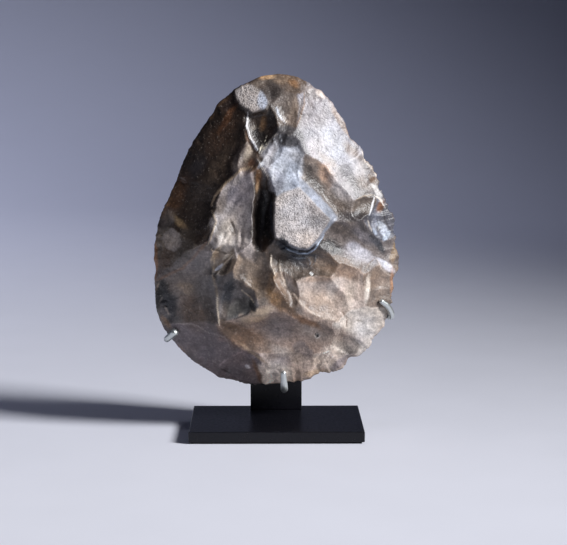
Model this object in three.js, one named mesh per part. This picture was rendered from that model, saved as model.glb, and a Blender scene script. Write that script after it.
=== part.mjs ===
import * as THREE from 'three';

// A flaked flint hand axe held upright on a small metal stand by three bent prongs.
// Millimetres, +Z up. The origin is the middle of the stand's underside, the axe's
// front face looks along -Y, and +X is to the right of someone who faces it.

// Driving dimensions: the axe
const axeHeight = 118.5;
const frontBulge = 20;
const backBulge = 17;
const edgePlaneY = -1;
const edgeWander = 1.1;
const axeLift = 12.3;

// Driving dimensions: the stand
const plateWidth = 65;
const plateDepth = 50;
const plateThickness = 4;
const padThickness = 0.6;
const padInset = 1;
const postWidth = 20;
const postThickness = 4;
const postHeight = 65;
const postGap = 0.4;

// Driving dimensions: the prongs
const prongRadius = 1.1;
const prongGap = 0.5;
const prongStub = 1.5;
const sideArmHeight = 26;

// Fineness of the meshes
const faceDivisions = 44;
const prongSides = 8;
const prongSteps = 26;

// Heights and faces that follow from the sizes above
const hundredth = axeHeight / 100;
const plateTop = padThickness + plateThickness;
const axeBottom = plateTop + axeLift;
const postFrontY = edgePlaneY + backBulge + postGap;
const postMiddleY = postFrontY + postThickness / 2;
const prongClearance = prongRadius + prongGap;
const degree = Math.PI / 180;

// The axe's outline: radii in hundredths of its height, one every 15 degrees from +X
// towards +Z, about a centre at this height.
const outlineCentre = 45;
const outlineRadii = [
  38.6, 38.2, 38.8, 40.8, 44.8, 52.0, 55.0, 51.4, 45.3, 40.9, 37.9, 38.2,
  38.8, 40.2, 43.6, 44.8, 45.2, 45.2, 44.2, 43.4, 44.2, 43.8, 41.5, 39.4,
];

// Small flakes nipped from the edge: angle and spread in degrees, depth in hundredths.
// A depth below zero is a spur left standing between two of them.
const edgeNips = [
  { at: 57, spread: 3, depth: 0.9 },
  { at: 45, spread: 3, depth: 0.9 },
  { at: 30, spread: 3, depth: 0.8 },
  { at: 14, spread: 3, depth: -0.5 },
  { at: 1, spread: 3, depth: 0.9 },
  { at: 352, spread: 4, depth: -0.6 },
  { at: 346, spread: 3, depth: 0.6 },
  { at: 316, spread: 3, depth: 0.7 },
  { at: 304, spread: 3, depth: 1.2 },
  { at: 298, spread: 3, depth: -0.8 },
  { at: 288, spread: 3, depth: 0.9 },
  { at: 284, spread: 3, depth: -0.5 },
  { at: 246, spread: 3, depth: -0.4 },
  { at: 190, spread: 3, depth: 0.5 },
  { at: 112, spread: 3, depth: -0.6 },
  { at: 104, spread: 3, depth: -0.4 },
];

// Flake scars on the front. x and z place the hollow's middle, turn is its lean in degrees
// from +X towards +Z, along and across are its half sizes, all in hundredths of the height.
// depth is in hundredths of the stone's own bulge. Ridges stand where two hollows meet.
const frontScars = {
  topLeftChip: { x: -15, z: 91, turn: 58, along: 7, across: 4.5, depth: 36 },
  upperLeftFlank: { x: -21.5, z: 76, turn: 60, along: 18, across: 9.5, depth: 46 },
  middleLeftFlank: { x: -29.5, z: 60.5, turn: 62, along: 14, across: 9, depth: 45 },
  leftOval: { x: -34.5, z: 47.5, turn: 80, along: 11, across: 7.5, depth: 36 },
  lowerLeftFlank: { x: -28.5, z: 30.5, turn: 30, along: 14, across: 11.5, depth: 40 },
  heelLeft: { x: -23.5, z: 13, turn: -25, along: 14.5, across: 7.5, depth: 44 },
  heelMiddleLeft: { x: -10.5, z: 5, turn: -20, along: 11.5, across: 7, depth: 42 },
  lowerMiddle: { x: 1, z: 16, turn: -8, along: 21, across: 7.5, depth: 37 },
  lowerOval: { x: -12, z: 28, turn: 35, along: 9, across: 5.5, depth: 40 },
  splinter: { x: -17.5, z: 40, turn: 60, along: 7, across: 4, depth: 34 },
  darkChannel: { x: -4.5, z: 53.5, turn: 86, along: 18, across: 4, depth: 50 },
  leftPlateau: { x: -14, z: 56, turn: 78, along: 14.5, across: 6.5, depth: 31 },
  channelFoot: { x: -6, z: 38, turn: 75, along: 9.5, across: 7, depth: 33 },
  topChannel: { x: -4.5, z: 83, turn: 100, along: 9.5, across: 5, depth: 46 },
  wedge: { x: -8.5, z: 76, turn: 70, along: 8.5, across: 4, depth: 33 },
  tipLeft: { x: -4.5, z: 95.5, turn: 10, along: 8.5, across: 5.5, depth: 36 },
  tipRight: { x: 3, z: 97.5, turn: -15, along: 8.5, across: 4, depth: 36 },
  underTip: { x: 4, z: 88.5, turn: 80, along: 8.5, across: 5.5, depth: 36 },
  upperRight: { x: 15.5, z: 82, turn: -58, along: 16.5, across: 9.5, depth: 42 },
  neck: { x: 3.5, z: 71.5, turn: 80, along: 11, across: 7, depth: 32 },
  besideCrust: { x: 15.5, z: 63.5, turn: -52, along: 14, across: 6, depth: 43 },
  middleRight: { x: 25.5, z: 67, turn: -62, along: 11, across: 7, depth: 39 },
  smallHollow: { x: 27.5, z: 58, turn: 20, along: 5, across: 3.5, depth: 42 },
  rightEdge: { x: 34, z: 55.5, turn: 70, along: 11, across: 5, depth: 42 },
  rightBand: { x: 25, z: 46, turn: -22, along: 16.5, across: 7.5, depth: 42 },
  underCrust: { x: 7.5, z: 40.5, turn: -8, along: 12.5, across: 8.5, depth: 42 },
  lowerRight: { x: 13, z: 28.5, turn: -22, along: 14, across: 7.5, depth: 36 },
  lowerRightRib: { x: 24, z: 32.5, turn: -60, along: 11.5, across: 6.5, depth: 33 },
  lowerRightEdge: { x: 33.5, z: 33.5, turn: 75, along: 10, across: 6.5, depth: 37 },
  heelRight: { x: 28.5, z: 19.5, turn: 40, along: 10, across: 7.5, depth: 37 },
  heelRightFacet: { x: 22.5, z: 14.5, turn: 30, along: 7.5, across: 4.5, depth: 36 },
  heelMiddle: { x: 6, z: 7.5, turn: -10, along: 12.5, across: 7, depth: 36 },
  heelMiddleRight: { x: 16.5, z: 7.5, turn: 20, along: 9, across: 5, depth: 38 },
};

// Patches of the pebble's old crust, left standing above the scars. square is the power
// that takes the patch from an ellipse at 2 towards a box.
const frontCrust = [
  { x: 9, z: 54.5, turn: -37, along: 9, across: 7.5, square: 4 },
  { x: -8.5, z: 92.5, turn: -20, along: 5, across: 4, square: 2.5 },
];
const crustDepth = 10;
const crustWall = 110;
const scarRise = 22;

// The back is worked the same way and plainer: a ring of scars round the edge and three
// along the middle, with a patch of crust at the thickest point.
const backRingScars = 12;
const backRingReach = 0.66;
const backMiddleHeights = [20, 47, 74];
const backCrust = [{ x: 1, z: 43, turn: 20, along: 8, across: 6, square: 3 }];

// A smooth closed curve through evenly spaced values, at a place counted in steps.
function roundCurve(values, place) {
  const count = values.length;
  const step = Math.floor(place);
  const t = place - step;
  const [a, b, c, d] = [-1, 0, 1, 2].map((k) => values[(step + k + count) % count]);
  return b + 0.5 * t * (c - a + t * (2 * a - 5 * b + 4 * c - d + t * (3 * (b - c) + d - a)));
}

function outlineRadius(angle) {
  const turns = angle / (2 * Math.PI);
  return roundCurve(outlineRadii, (turns - Math.floor(turns)) * outlineRadii.length);
}

function nipDepth(angle) {
  let depth = 0;
  for (const nip of edgeNips) {
    const away = THREE.MathUtils.euclideanModulo(angle / degree - nip.at + 180, 360) - 180;
    depth += nip.depth * Math.exp(-((away / nip.spread) ** 2));
  }
  return depth;
}

function makeBackScars() {
  const scars = [];
  for (let k = 0; k < backRingScars; k++) {
    const angle = (k + 0.3 * Math.sin(2.4 * k)) * 2 * Math.PI / backRingScars;
    const reach = outlineRadius(angle) * (backRingReach + 0.06 * Math.sin(1.7 * k));
    scars.push({
      x: reach * Math.cos(angle),
      z: outlineCentre + reach * Math.sin(angle),
      turn: angle / degree + 12 * Math.sin(3.1 * k),
      along: 15 + 2 * Math.sin(4.3 * k),
      across: 9.5 + 1.5 * Math.sin(5.9 * k),
      depth: 41 + 4 * Math.sin(2.9 * k),
    });
  }
  backMiddleHeights.forEach((z, k) => {
    scars.push({ x: 3 - 3 * k, z, turn: 70 + 15 * k, along: 13, across: 8, depth: 30 });
  });
  return scars;
}

// How far a place lies from a hollow's middle, along and across it, in its own half sizes.
function placeIn(hollow, x, z) {
  const cos = Math.cos(hollow.turn * degree);
  const sin = Math.sin(hollow.turn * degree);
  const dx = x - hollow.x;
  const dz = z - hollow.z;
  return [(dx * cos + dz * sin) / hollow.along, (dz * cos - dx * sin) / hollow.across];
}

// Hundredths of the bulge taken off at a place: the deepest scar there, unless a patch of
// crust or the wall round it holds that back.
function depthTaken(face, x, z) {
  let depth = crustDepth;
  for (const scar of face.scars) {
    const [s, q] = placeIn(scar, x, z);
    depth = Math.max(depth, scar.depth - scarRise * (s * s + q * q));
  }
  for (const crust of face.crusts) {
    const [s, q] = placeIn(crust, x, z);
    const power = crust.square;
    const outside = (Math.abs(s) ** power + Math.abs(q) ** power) ** (1 / power) - 1;
    depth = Math.min(depth, crustDepth + crustWall * Math.max(0, outside));
  }
  return depth;
}

// The two faces share the edge, and everything about a face follows from its sign:
// -1 for the front and 1 for the back.
const front = { sign: -1, bulge: frontBulge, scars: Object.values(frontScars), crusts: frontCrust };
const back = { sign: 1, bulge: backBulge, scars: makeBackScars(), crusts: backCrust };

// The edge swings a little to either side of its plane all the way round.
function edgeY(angle) {
  return edgePlaneY + edgeWander * (0.6 * Math.sin(3 * angle + 1) + 0.4 * Math.sin(7 * angle + 2));
}

// A dome that is blunt in the middle and comes down to a sharp edge at reach 1.
function dome(reach) {
  return Math.max(0, 1 - reach ** 2.2) ** 0.85;
}

// x and height in hundredths, from an angle about the centre and a reach that is 1 at the
// edge. The nips are felt only close to the edge.
function outlinePlace(angle, reach) {
  const radius = outlineRadius(angle) * reach - nipDepth(angle) * reach ** 8;
  return [radius * Math.cos(angle), outlineCentre + radius * Math.sin(angle)];
}

// A point on one face.
function facePoint(face, angle, reach) {
  const [x, z] = outlinePlace(angle, reach);
  const left = 1 - depthTaken(face, x, z) / 100;
  const y = edgePlaneY + (edgeY(angle) - edgePlaneY) * reach ** 3;
  return new THREE.Vector3(
    x * hundredth,
    y + face.sign * face.bulge * dome(reach) * left,
    axeBottom + z * hundredth,
  );
}

// A square grid is bent into the outline: its rings become rings of equal reach.
function gridPlace(column, row) {
  const u = (2 * column) / faceDivisions - 1;
  const v = (2 * row) / faceDivisions - 1;
  if (u === 0 && v === 0) return [0, 0];
  if (Math.abs(u) > Math.abs(v)) return [(Math.PI / 4) * (v / u) + (u < 0 ? Math.PI : 0), Math.abs(u)];
  return [Math.PI / 2 - (Math.PI / 4) * (u / v) + (v < 0 ? Math.PI : 0), Math.abs(v)];
}

function onRim(column, row) {
  return column % faceDivisions === 0 || row % faceDivisions === 0;
}

// Each quad is split along the diagonal that lies closer to the true surface, so that
// ridges stay sharp. A quad in a corner of the grid is always split at that corner.
function splitsForward(face, corners, column, row) {
  const last = faceDivisions - 1;
  const inCorner = (column === 0 || column === last) && (row === 0 || row === last);
  if (inCorner) return (column === 0) === (row === 0);
  const middle = facePoint(face, ...gridPlace(column + 0.5, row + 0.5));
  const [a, b, c, d] = corners;
  const forward = a.clone().add(c).multiplyScalar(0.5).distanceTo(middle);
  return forward <= b.clone().add(d).multiplyScalar(0.5).distanceTo(middle);
}

function axeGeometry() {
  const points = [];
  const triangles = [];
  const rim = new Map();
  const side = faceDivisions + 1;
  for (const face of [front, back]) {
    const numbers = [];
    for (let row = 0; row < side; row++) {
      for (let column = 0; column < side; column++) {
        const key = row * side + column;
        if (onRim(column, row) && rim.has(key)) {
          numbers.push(rim.get(key));
          continue;
        }
        if (onRim(column, row)) rim.set(key, points.length);
        numbers.push(points.length);
        points.push(facePoint(face, ...gridPlace(column, row)));
      }
    }
    for (let row = 0; row < faceDivisions; row++) {
      for (let column = 0; column < faceDivisions; column++) {
        const key = row * side + column;
        const quad = [key, key + 1, key + side + 1, key + side].map((k) => numbers[k]);
        const forward = splitsForward(face, quad.map((k) => points[k]), column, row);
        const [a, b, c, d] = quad;
        const pair = forward ? [[a, b, c], [a, c, d]] : [[a, b, d], [b, c, d]];
        for (const [p, q, r] of pair) triangles.push(...(face === front ? [p, q, r] : [p, r, q]));
      }
    }
  }
  const geometry = new THREE.BufferGeometry().setFromPoints(points);
  geometry.setIndex(triangles);
  geometry.computeVertexNormals();
  return geometry;
}

// A round rod along a straight stub and then a smooth curve through the points after it.
function rodGeometry(stubStart, points) {
  const path = new THREE.CurvePath();
  path.add(new THREE.LineCurve3(stubStart, points[0]));
  path.add(new THREE.CatmullRomCurve3(points));
  const section = new THREE.Shape();
  section.absarc(0, 0, prongRadius, 0, 2 * Math.PI);
  return new THREE.ExtrudeGeometry(section, {
    curveSegments: prongSides / 2,
    steps: prongSteps,
    bevelEnabled: false,
    extrudePath: path,
  });
}

// A point beside the stone: as far from the surface as a rod and its gap need. The slant
// of the face near the edge asks for a little more than the gap itself.
function beside(face, angle, reach, uncut) {
  const point = facePoint(face, angle, reach);
  if (uncut) point.y = edgePlaneY + face.sign * face.bulge * dome(reach);
  point.y += face.sign * prongClearance * (1 + 0.4 * reach);
  return point;
}

// A point in the edge's plane, one rod and its gap outside the outline.
function outsideEdge(angle) {
  const point = facePoint(front, angle, 1);
  point.x += Math.cos(angle) * prongClearance;
  point.z += Math.sin(angle) * prongClearance;
  return point;
}

// A side prong leaves the post's side face, follows the back of the stone out to the edge,
// goes round it and ends in a short tip on the front.
function sideProngPoints(side, hook) {
  const postSideX = side * postWidth / 2;
  const armZ = plateTop + sideArmHeight;
  const stubStart = new THREE.Vector3(postSideX, postMiddleY, armZ);
  const armStart = new THREE.Vector3(postSideX + side * prongStub, postMiddleY, armZ);
  const behindEdge = beside(back, hook.behind * degree, hook.behindReach, true);
  const halfway = armStart.clone().lerp(behindEdge, 0.5);
  const dz = (halfway.z - axeBottom) / hundredth - outlineCentre;
  const angle = Math.atan2(dz, halfway.x / hundredth);
  const reach = Math.hypot(halfway.x / hundredth, dz) / outlineRadius(angle);
  const elbow = beside(back, angle, reach, true);
  const round = outsideEdge(hook.round * degree);
  const tip = beside(front, hook.tip * degree, hook.tipReach, false);
  return { stubStart, points: [armStart, elbow, behindEdge, round, tip] };
}

// The bottom prong leaves the post's front face, runs straight under the stone's edge and
// turns up over the front.
function bottomProngPoints(hook) {
  const under = outsideEdge(hook.round * degree);
  const stubStart = new THREE.Vector3(under.x, postFrontY, under.z);
  const behindEdge = new THREE.Vector3(under.x, edgePlaneY + prongClearance, under.z);
  const tip = beside(front, hook.tip * degree, hook.tipReach, false);
  const corner = new THREE.Vector3(under.x, (under.y + tip.y) / 2 - prongRadius, under.z);
  return { stubStart, points: [behindEdge, corner, tip] };
}

// Where each prong goes round the edge, in degrees, and how far in its tip ends.
const leftHook = { behind: 222, behindReach: 0.9, round: 220.5, tip: 219, tipReach: 0.93 };
const rightHook = { behind: 328, behindReach: 0.9, round: 332, tip: 332.7, tipReach: 0.9 };
const bottomHook = { round: 273.2, tip: 273.2, tipReach: 0.91 };

const flint = new THREE.MeshStandardMaterial({ color: 0x6b5d52, roughness: 0.4, metalness: 0 });
const blackPaint = new THREE.MeshStandardMaterial({ color: 0x1a1a20, roughness: 0.45, metalness: 0 });
const rubber = new THREE.MeshStandardMaterial({ color: 0x101014, roughness: 0.9, metalness: 0 });
const steel = new THREE.MeshStandardMaterial({ color: 0x9aa09f, roughness: 0.35, metalness: 1 });

const group = new THREE.Group();

function add(name, geometry, material, x = 0, y = 0, z = 0) {
  const mesh = new THREE.Mesh(geometry, material.clone());
  mesh.name = name;
  mesh.position.set(x, y, z);
  group.add(mesh);
}

function addPlate() {
  const padWidth = plateWidth - 2 * padInset;
  const padDepth = plateDepth - 2 * padInset;
  const pad = new THREE.BoxGeometry(padWidth, padDepth, padThickness);
  const plate = new THREE.BoxGeometry(plateWidth, plateDepth, plateThickness);
  add('base_pad', pad, rubber, 0, 0, padThickness / 2);
  add('base_plate', plate, blackPaint, 0, 0, padThickness + plateThickness / 2);
}

function addPost() {
  const upright = new THREE.BoxGeometry(postWidth, postThickness, postHeight);
  add('post', upright, blackPaint, 0, postMiddleY, plateTop + postHeight / 2);
}

function addProng(name, { stubStart, points }) {
  add(name, rodGeometry(stubStart, points), steel);
}

addPlate();
addPost();
addProng('prong_left', sideProngPoints(-1, leftHook));
addProng('prong_right', sideProngPoints(1, rightHook));
addProng('prong_bottom', bottomProngPoints(bottomHook));
add('hand_axe', axeGeometry(), flint);

export default group;
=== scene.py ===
import math

import bmesh
import bpy
import numpy as np
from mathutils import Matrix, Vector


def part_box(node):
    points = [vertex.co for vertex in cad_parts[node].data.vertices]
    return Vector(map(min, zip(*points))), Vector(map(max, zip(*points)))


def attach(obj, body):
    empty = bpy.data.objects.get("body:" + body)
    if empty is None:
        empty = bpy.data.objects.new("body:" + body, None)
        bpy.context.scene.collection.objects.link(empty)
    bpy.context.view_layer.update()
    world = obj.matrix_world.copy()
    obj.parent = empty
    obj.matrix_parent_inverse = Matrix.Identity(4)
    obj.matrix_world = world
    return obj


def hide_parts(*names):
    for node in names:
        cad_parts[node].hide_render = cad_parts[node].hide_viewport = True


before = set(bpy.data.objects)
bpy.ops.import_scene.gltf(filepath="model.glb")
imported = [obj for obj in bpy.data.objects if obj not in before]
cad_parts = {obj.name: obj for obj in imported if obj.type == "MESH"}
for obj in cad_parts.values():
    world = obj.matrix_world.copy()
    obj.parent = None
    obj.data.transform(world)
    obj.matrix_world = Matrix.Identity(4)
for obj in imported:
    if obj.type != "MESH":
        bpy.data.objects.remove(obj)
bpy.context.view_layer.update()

# Driving dimensions, in metres: the stone
MM = 0.001
AXE_HEIGHT = 118.5 * MM
FRONT_BULGE = 20 * MM
BACK_BULGE = 17 * MM
EDGE_PLANE_Y = -1 * MM
EDGE_WANDER = 1.1 * MM
AXE_LIFT = 12.3 * MM
HUNDREDTH = AXE_HEIGHT / 100
PLATE_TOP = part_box("base_plate")[1][2]
AXE_BOTTOM = PLATE_TOP + AXE_LIFT

# Driving dimensions: the prongs. The rods lie closer to the stone than their solids do
PRONG_RADIUS = 1.1 * MM
PRONG_GAP = 0.2 * MM
PRONG_STUB = 1.5 * MM
SIDE_ARM_HEIGHT = 26 * MM
PRONG_CLEARANCE = PRONG_RADIUS + PRONG_GAP

# Fineness of the stone's mesh: squares along one side of the grid on each face
FACE_DIVISIONS = 220

# The outline: radii in hundredths of the height, one every 15 degrees from +X towards +Z,
# about a centre at this height
OUTLINE_CENTRE = 45
OUTLINE_RADII = [
    38.6, 38.2, 38.8, 40.8, 44.8, 52.0, 55.0, 51.4, 45.3, 40.9, 37.9, 38.2,
    38.8, 40.2, 43.6, 44.8, 45.2, 45.2, 44.2, 43.4, 44.2, 43.8, 41.5, 39.4,
]

# Flakes nipped from the edge: angle and spread in degrees, depth in hundredths. A depth
# below zero is a spur.
EDGE_NIPS = [
    (57, 3, 0.9), (45, 3, 0.9), (30, 3, 0.8), (14, 3, -0.5), (1, 3, 0.9), (352, 4, -0.6),
    (346, 3, 0.6), (316, 3, 0.7), (304, 3, 1.2), (298, 3, -0.8), (288, 3, 0.9),
    (284, 3, -0.5), (246, 3, -0.4), (190, 3, 0.5), (112, 3, -0.6), (104, 3, -0.4),
]

# Flake scars on the front: x, z, turn in degrees, half length, half width, depth, and the
# colour of the flint there. Lengths are hundredths of the height and depth is hundredths
# of the bulge. Ridges stand where two hollows meet.
FRONT_SCARS = {
    "top_left_chip": (-15, 91, 58, 7, 4.5, 36, (44, 33, 28)),
    "upper_left_flank": (-21.5, 76, 60, 18, 9.5, 46, (40, 31, 25)),
    "middle_left_flank": (-29.5, 60.5, 62, 14, 9, 45, (46, 36, 29)),
    "left_oval": (-34.5, 47.5, 80, 11, 7.5, 36, (102, 92, 82)),
    "lower_left_flank": (-28.5, 30.5, 30, 14, 11.5, 40, (102, 94, 90)),
    "heel_left": (-23.5, 13, -25, 14.5, 7.5, 44, (104, 94, 96)),
    "heel_middle_left": (-12, 5.2, -20, 9.2, 7, 42, (112, 101, 102)),
    "lower_middle": (1, 16, -8, 21, 7.5, 37, (148, 128, 116)),
    "lower_oval": (-13, 28.6, 40, 7.8, 5.2, 38, (100, 93, 90)),
    "splinter": (-17.5, 40, 60, 7, 4, 34, (138, 124, 110)),
    # The dark channel's colour is partly dark flint, partly painted shadow in the deep channel
    "dark_channel": (-4, 56.5, 87, 12.4, 3, 50, (36, 30, 28)),
    "left_plateau": (-12.4, 56, 79, 14.5, 7.6, 31, (148, 140, 138)),
    "channel_foot": (-6, 38, 75, 9.5, 7, 33, (116, 103, 92)),
    "top_channel": (-5.2, 83.6, 100, 9, 4.6, 46, (52, 42, 36)),
    "neck_left": (-0.4, 76.2, 74, 7.2, 4, 36, (134, 131, 134)),
    "wedge": (-8.5, 76, 70, 8.5, 4, 33, (104, 88, 76)),
    "tip_left": (-4.5, 95.5, 10, 8.5, 5.5, 36, (84, 73, 66)),
    "tip_right": (3, 97.5, -15, 8.5, 4, 36, (88, 73, 62)),
    "under_tip": (4, 88.5, 80, 8.5, 5.5, 36, (96, 84, 76)),
    "upper_right": (15.5, 82, -58, 16.5, 9.5, 42, (136, 133, 139)),
    "neck": (3.2, 71.5, 80, 11, 8, 34, (152, 156, 166)),
    "beside_crust": (15.5, 63.5, -52, 14, 6, 43, (112, 101, 94)),
    "middle_right": (25.5, 67, -62, 11, 7, 39, (114, 110, 111)),
    "small_hollow": (27.5, 58, 20, 5, 3.5, 42, (90, 80, 73)),
    "right_edge": (34, 55.5, 70, 11, 5, 42, (84, 84, 92)),
    "right_band": (25, 46, -22, 16.5, 7.5, 42, (102, 92, 88)),
    "under_crust": (7.5, 41.2, -8, 12.5, 6.8, 42, (80, 69, 61)),
    "fan": (3.4, 33.4, -65, 7, 3.5, 31, (118, 102, 90)),
    "lower_right": (15.4, 30, -22, 11.2, 6.6, 36, (164, 148, 137)),
    "lower_right_rib": (24, 32.5, -60, 11.5, 6.5, 33, (172, 157, 148)),
    "lower_right_edge": (33.5, 33.5, 75, 10, 6.5, 37, (112, 99, 90)),
    "heel_right": (28.5, 19.5, 40, 10, 7.5, 37, (188, 178, 169)),
    "heel_right_facet": (22.5, 14.5, 30, 7.5, 4.5, 36, (132, 122, 114)),
    "heel_middle": (5, 6.5, -10, 13, 7.5, 38, (188, 170, 160)),
    "heel_middle_right": (16.5, 7.5, 20, 9, 5, 38, (190, 176, 166)),
}

# Patches of old crust left above the scars, as corners taken anticlockwise: x, z, and how
# steeply the wall falls from that corner to the next, in hundredths of the bulge for each
# hundredth of the height
FRONT_CRUST = [
    [(-0.8, 48.9, 26), (4.4, 46.2, 28), (7.1, 45.1, 28), (9.9, 45.2, 26), (12, 47, 24),
     (17.1, 54.2, 9), (6.8, 64.8, 4), (-0.8, 61.4, 45)],
    [(-12.6, 92.2, 22), (-10.9, 89.6, 24), (-7.4, 88.2, 20), (-3.6, 88.8, 12), (-2.4, 91.4, 10),
     (-4.2, 94.4, 10), (-7, 96.4, 12), (-10.4, 96.8, 14), (-13.2, 95, 22)],
]
BACK_CRUST = [[(-7, 38, 14), (5, 36, 14), (9, 45, 14), (2, 50, 14), (-5, 46, 14)]]
CRUST_DEPTH = 10
SCAR_RISE = 22
CRUST_COLOUR = (172, 164, 161)
CRUST_WALL_COLOUR = (132, 136, 146)

# The back: two rings of scars round the middle, the second smaller, and three along it.
# What varies from one scar of a ring to the next is given as its middle, swing, beat and
# start: the shift along the ring in steps, the reach from the centre as a share, the lean in
# degrees, and the half sizes and depth. colours is the first colour and the step to the next
BACK_RINGS = [
    {"count": 12, "shift": (0, 0.3, 2.4), "reach": (0.66, 0.06, 1.7), "lean": (0, 12, 3.1),
     "along": (15, 2, 4.3), "across": (9.5, 1.5, 5.9), "depth": (41, 4, 2.9), "colours": (0, 1)},
    {"count": 9, "shift": (0, 0.4, 3.7, 1), "reach": (0.67, 0.15, 10.6, -math.pi / 2),
     "lean": (0, 50, 2.3), "along": (8, 2.5, 3.3), "across": (5, 1.2, 4.7),
     "depth": (37.06, 2.7, 10.6, -math.pi / 2), "colours": (1, 2)},
]
BACK_MIDDLE_SCARS = [(3, 20, 70, 13, 8, 30), (0, 47, 85, 13, 8, 30), (-3, 74, 100, 13, 8, 30)]
BACK_COLOURS = [
    (120, 104, 92), (156, 142, 130), (98, 86, 76), (172, 160, 148), (134, 122, 118), (84, 73, 66),
]

# Stains scattered over the back: how far out as a share, which is raised to a power so that
# more of them lie near the edge, half length, width as a share of it, softness and strength
BACK_STAINS = 60
BACK_STAIN_SEED = 31
BACK_STAIN_REACH = (0.05, 1)
BACK_STAIN_SPREAD = 0.6
BACK_STAIN_LENGTH = (2, 9)
BACK_STAIN_WIDTH = (0.2, 0.6)
BACK_STAIN_SOFTNESS = (0.4, 1)
BACK_STAIN_STRENGTH = (0.4, 0.85)
BACK_STAIN_COLOURS = [
    (206, 196, 186), (110, 88, 68), (76, 67, 62), (164, 146, 128), (144, 136, 138), (124, 100, 76),
]

# Marks on the crust, one of them painted shade, in the same terms as the stains below
CRUST_STAINS = {
    "top_smooth": (-4, 91.8, 95, 3.2, 1.7, 0.4, 0.9, (168, 173, 186)),
    "main_left": (2.4, 55, 85, 9, 2.4, 0.9, 0.6, (196, 190, 189)),
    "main_right": (13, 55, -50, 5.4, 2.8, 0.9, 0.65, (122, 112, 108)),
    "main_low": (8.8, 48, 0, 4.6, 2.2, 0.9, 0.4, (184, 172, 164)),
    "main_top": (10.3, 59.6, -40, 2.2, 1.2, 0.9, 0.5, (140, 130, 126)),
    # Painted shade in the notch at the crust's lower left
    "main_notch_shade": (2.5, 47.6, -38, 1.9, 0.55, 0.4, 0.95, (30, 34, 44)),
}
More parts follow.
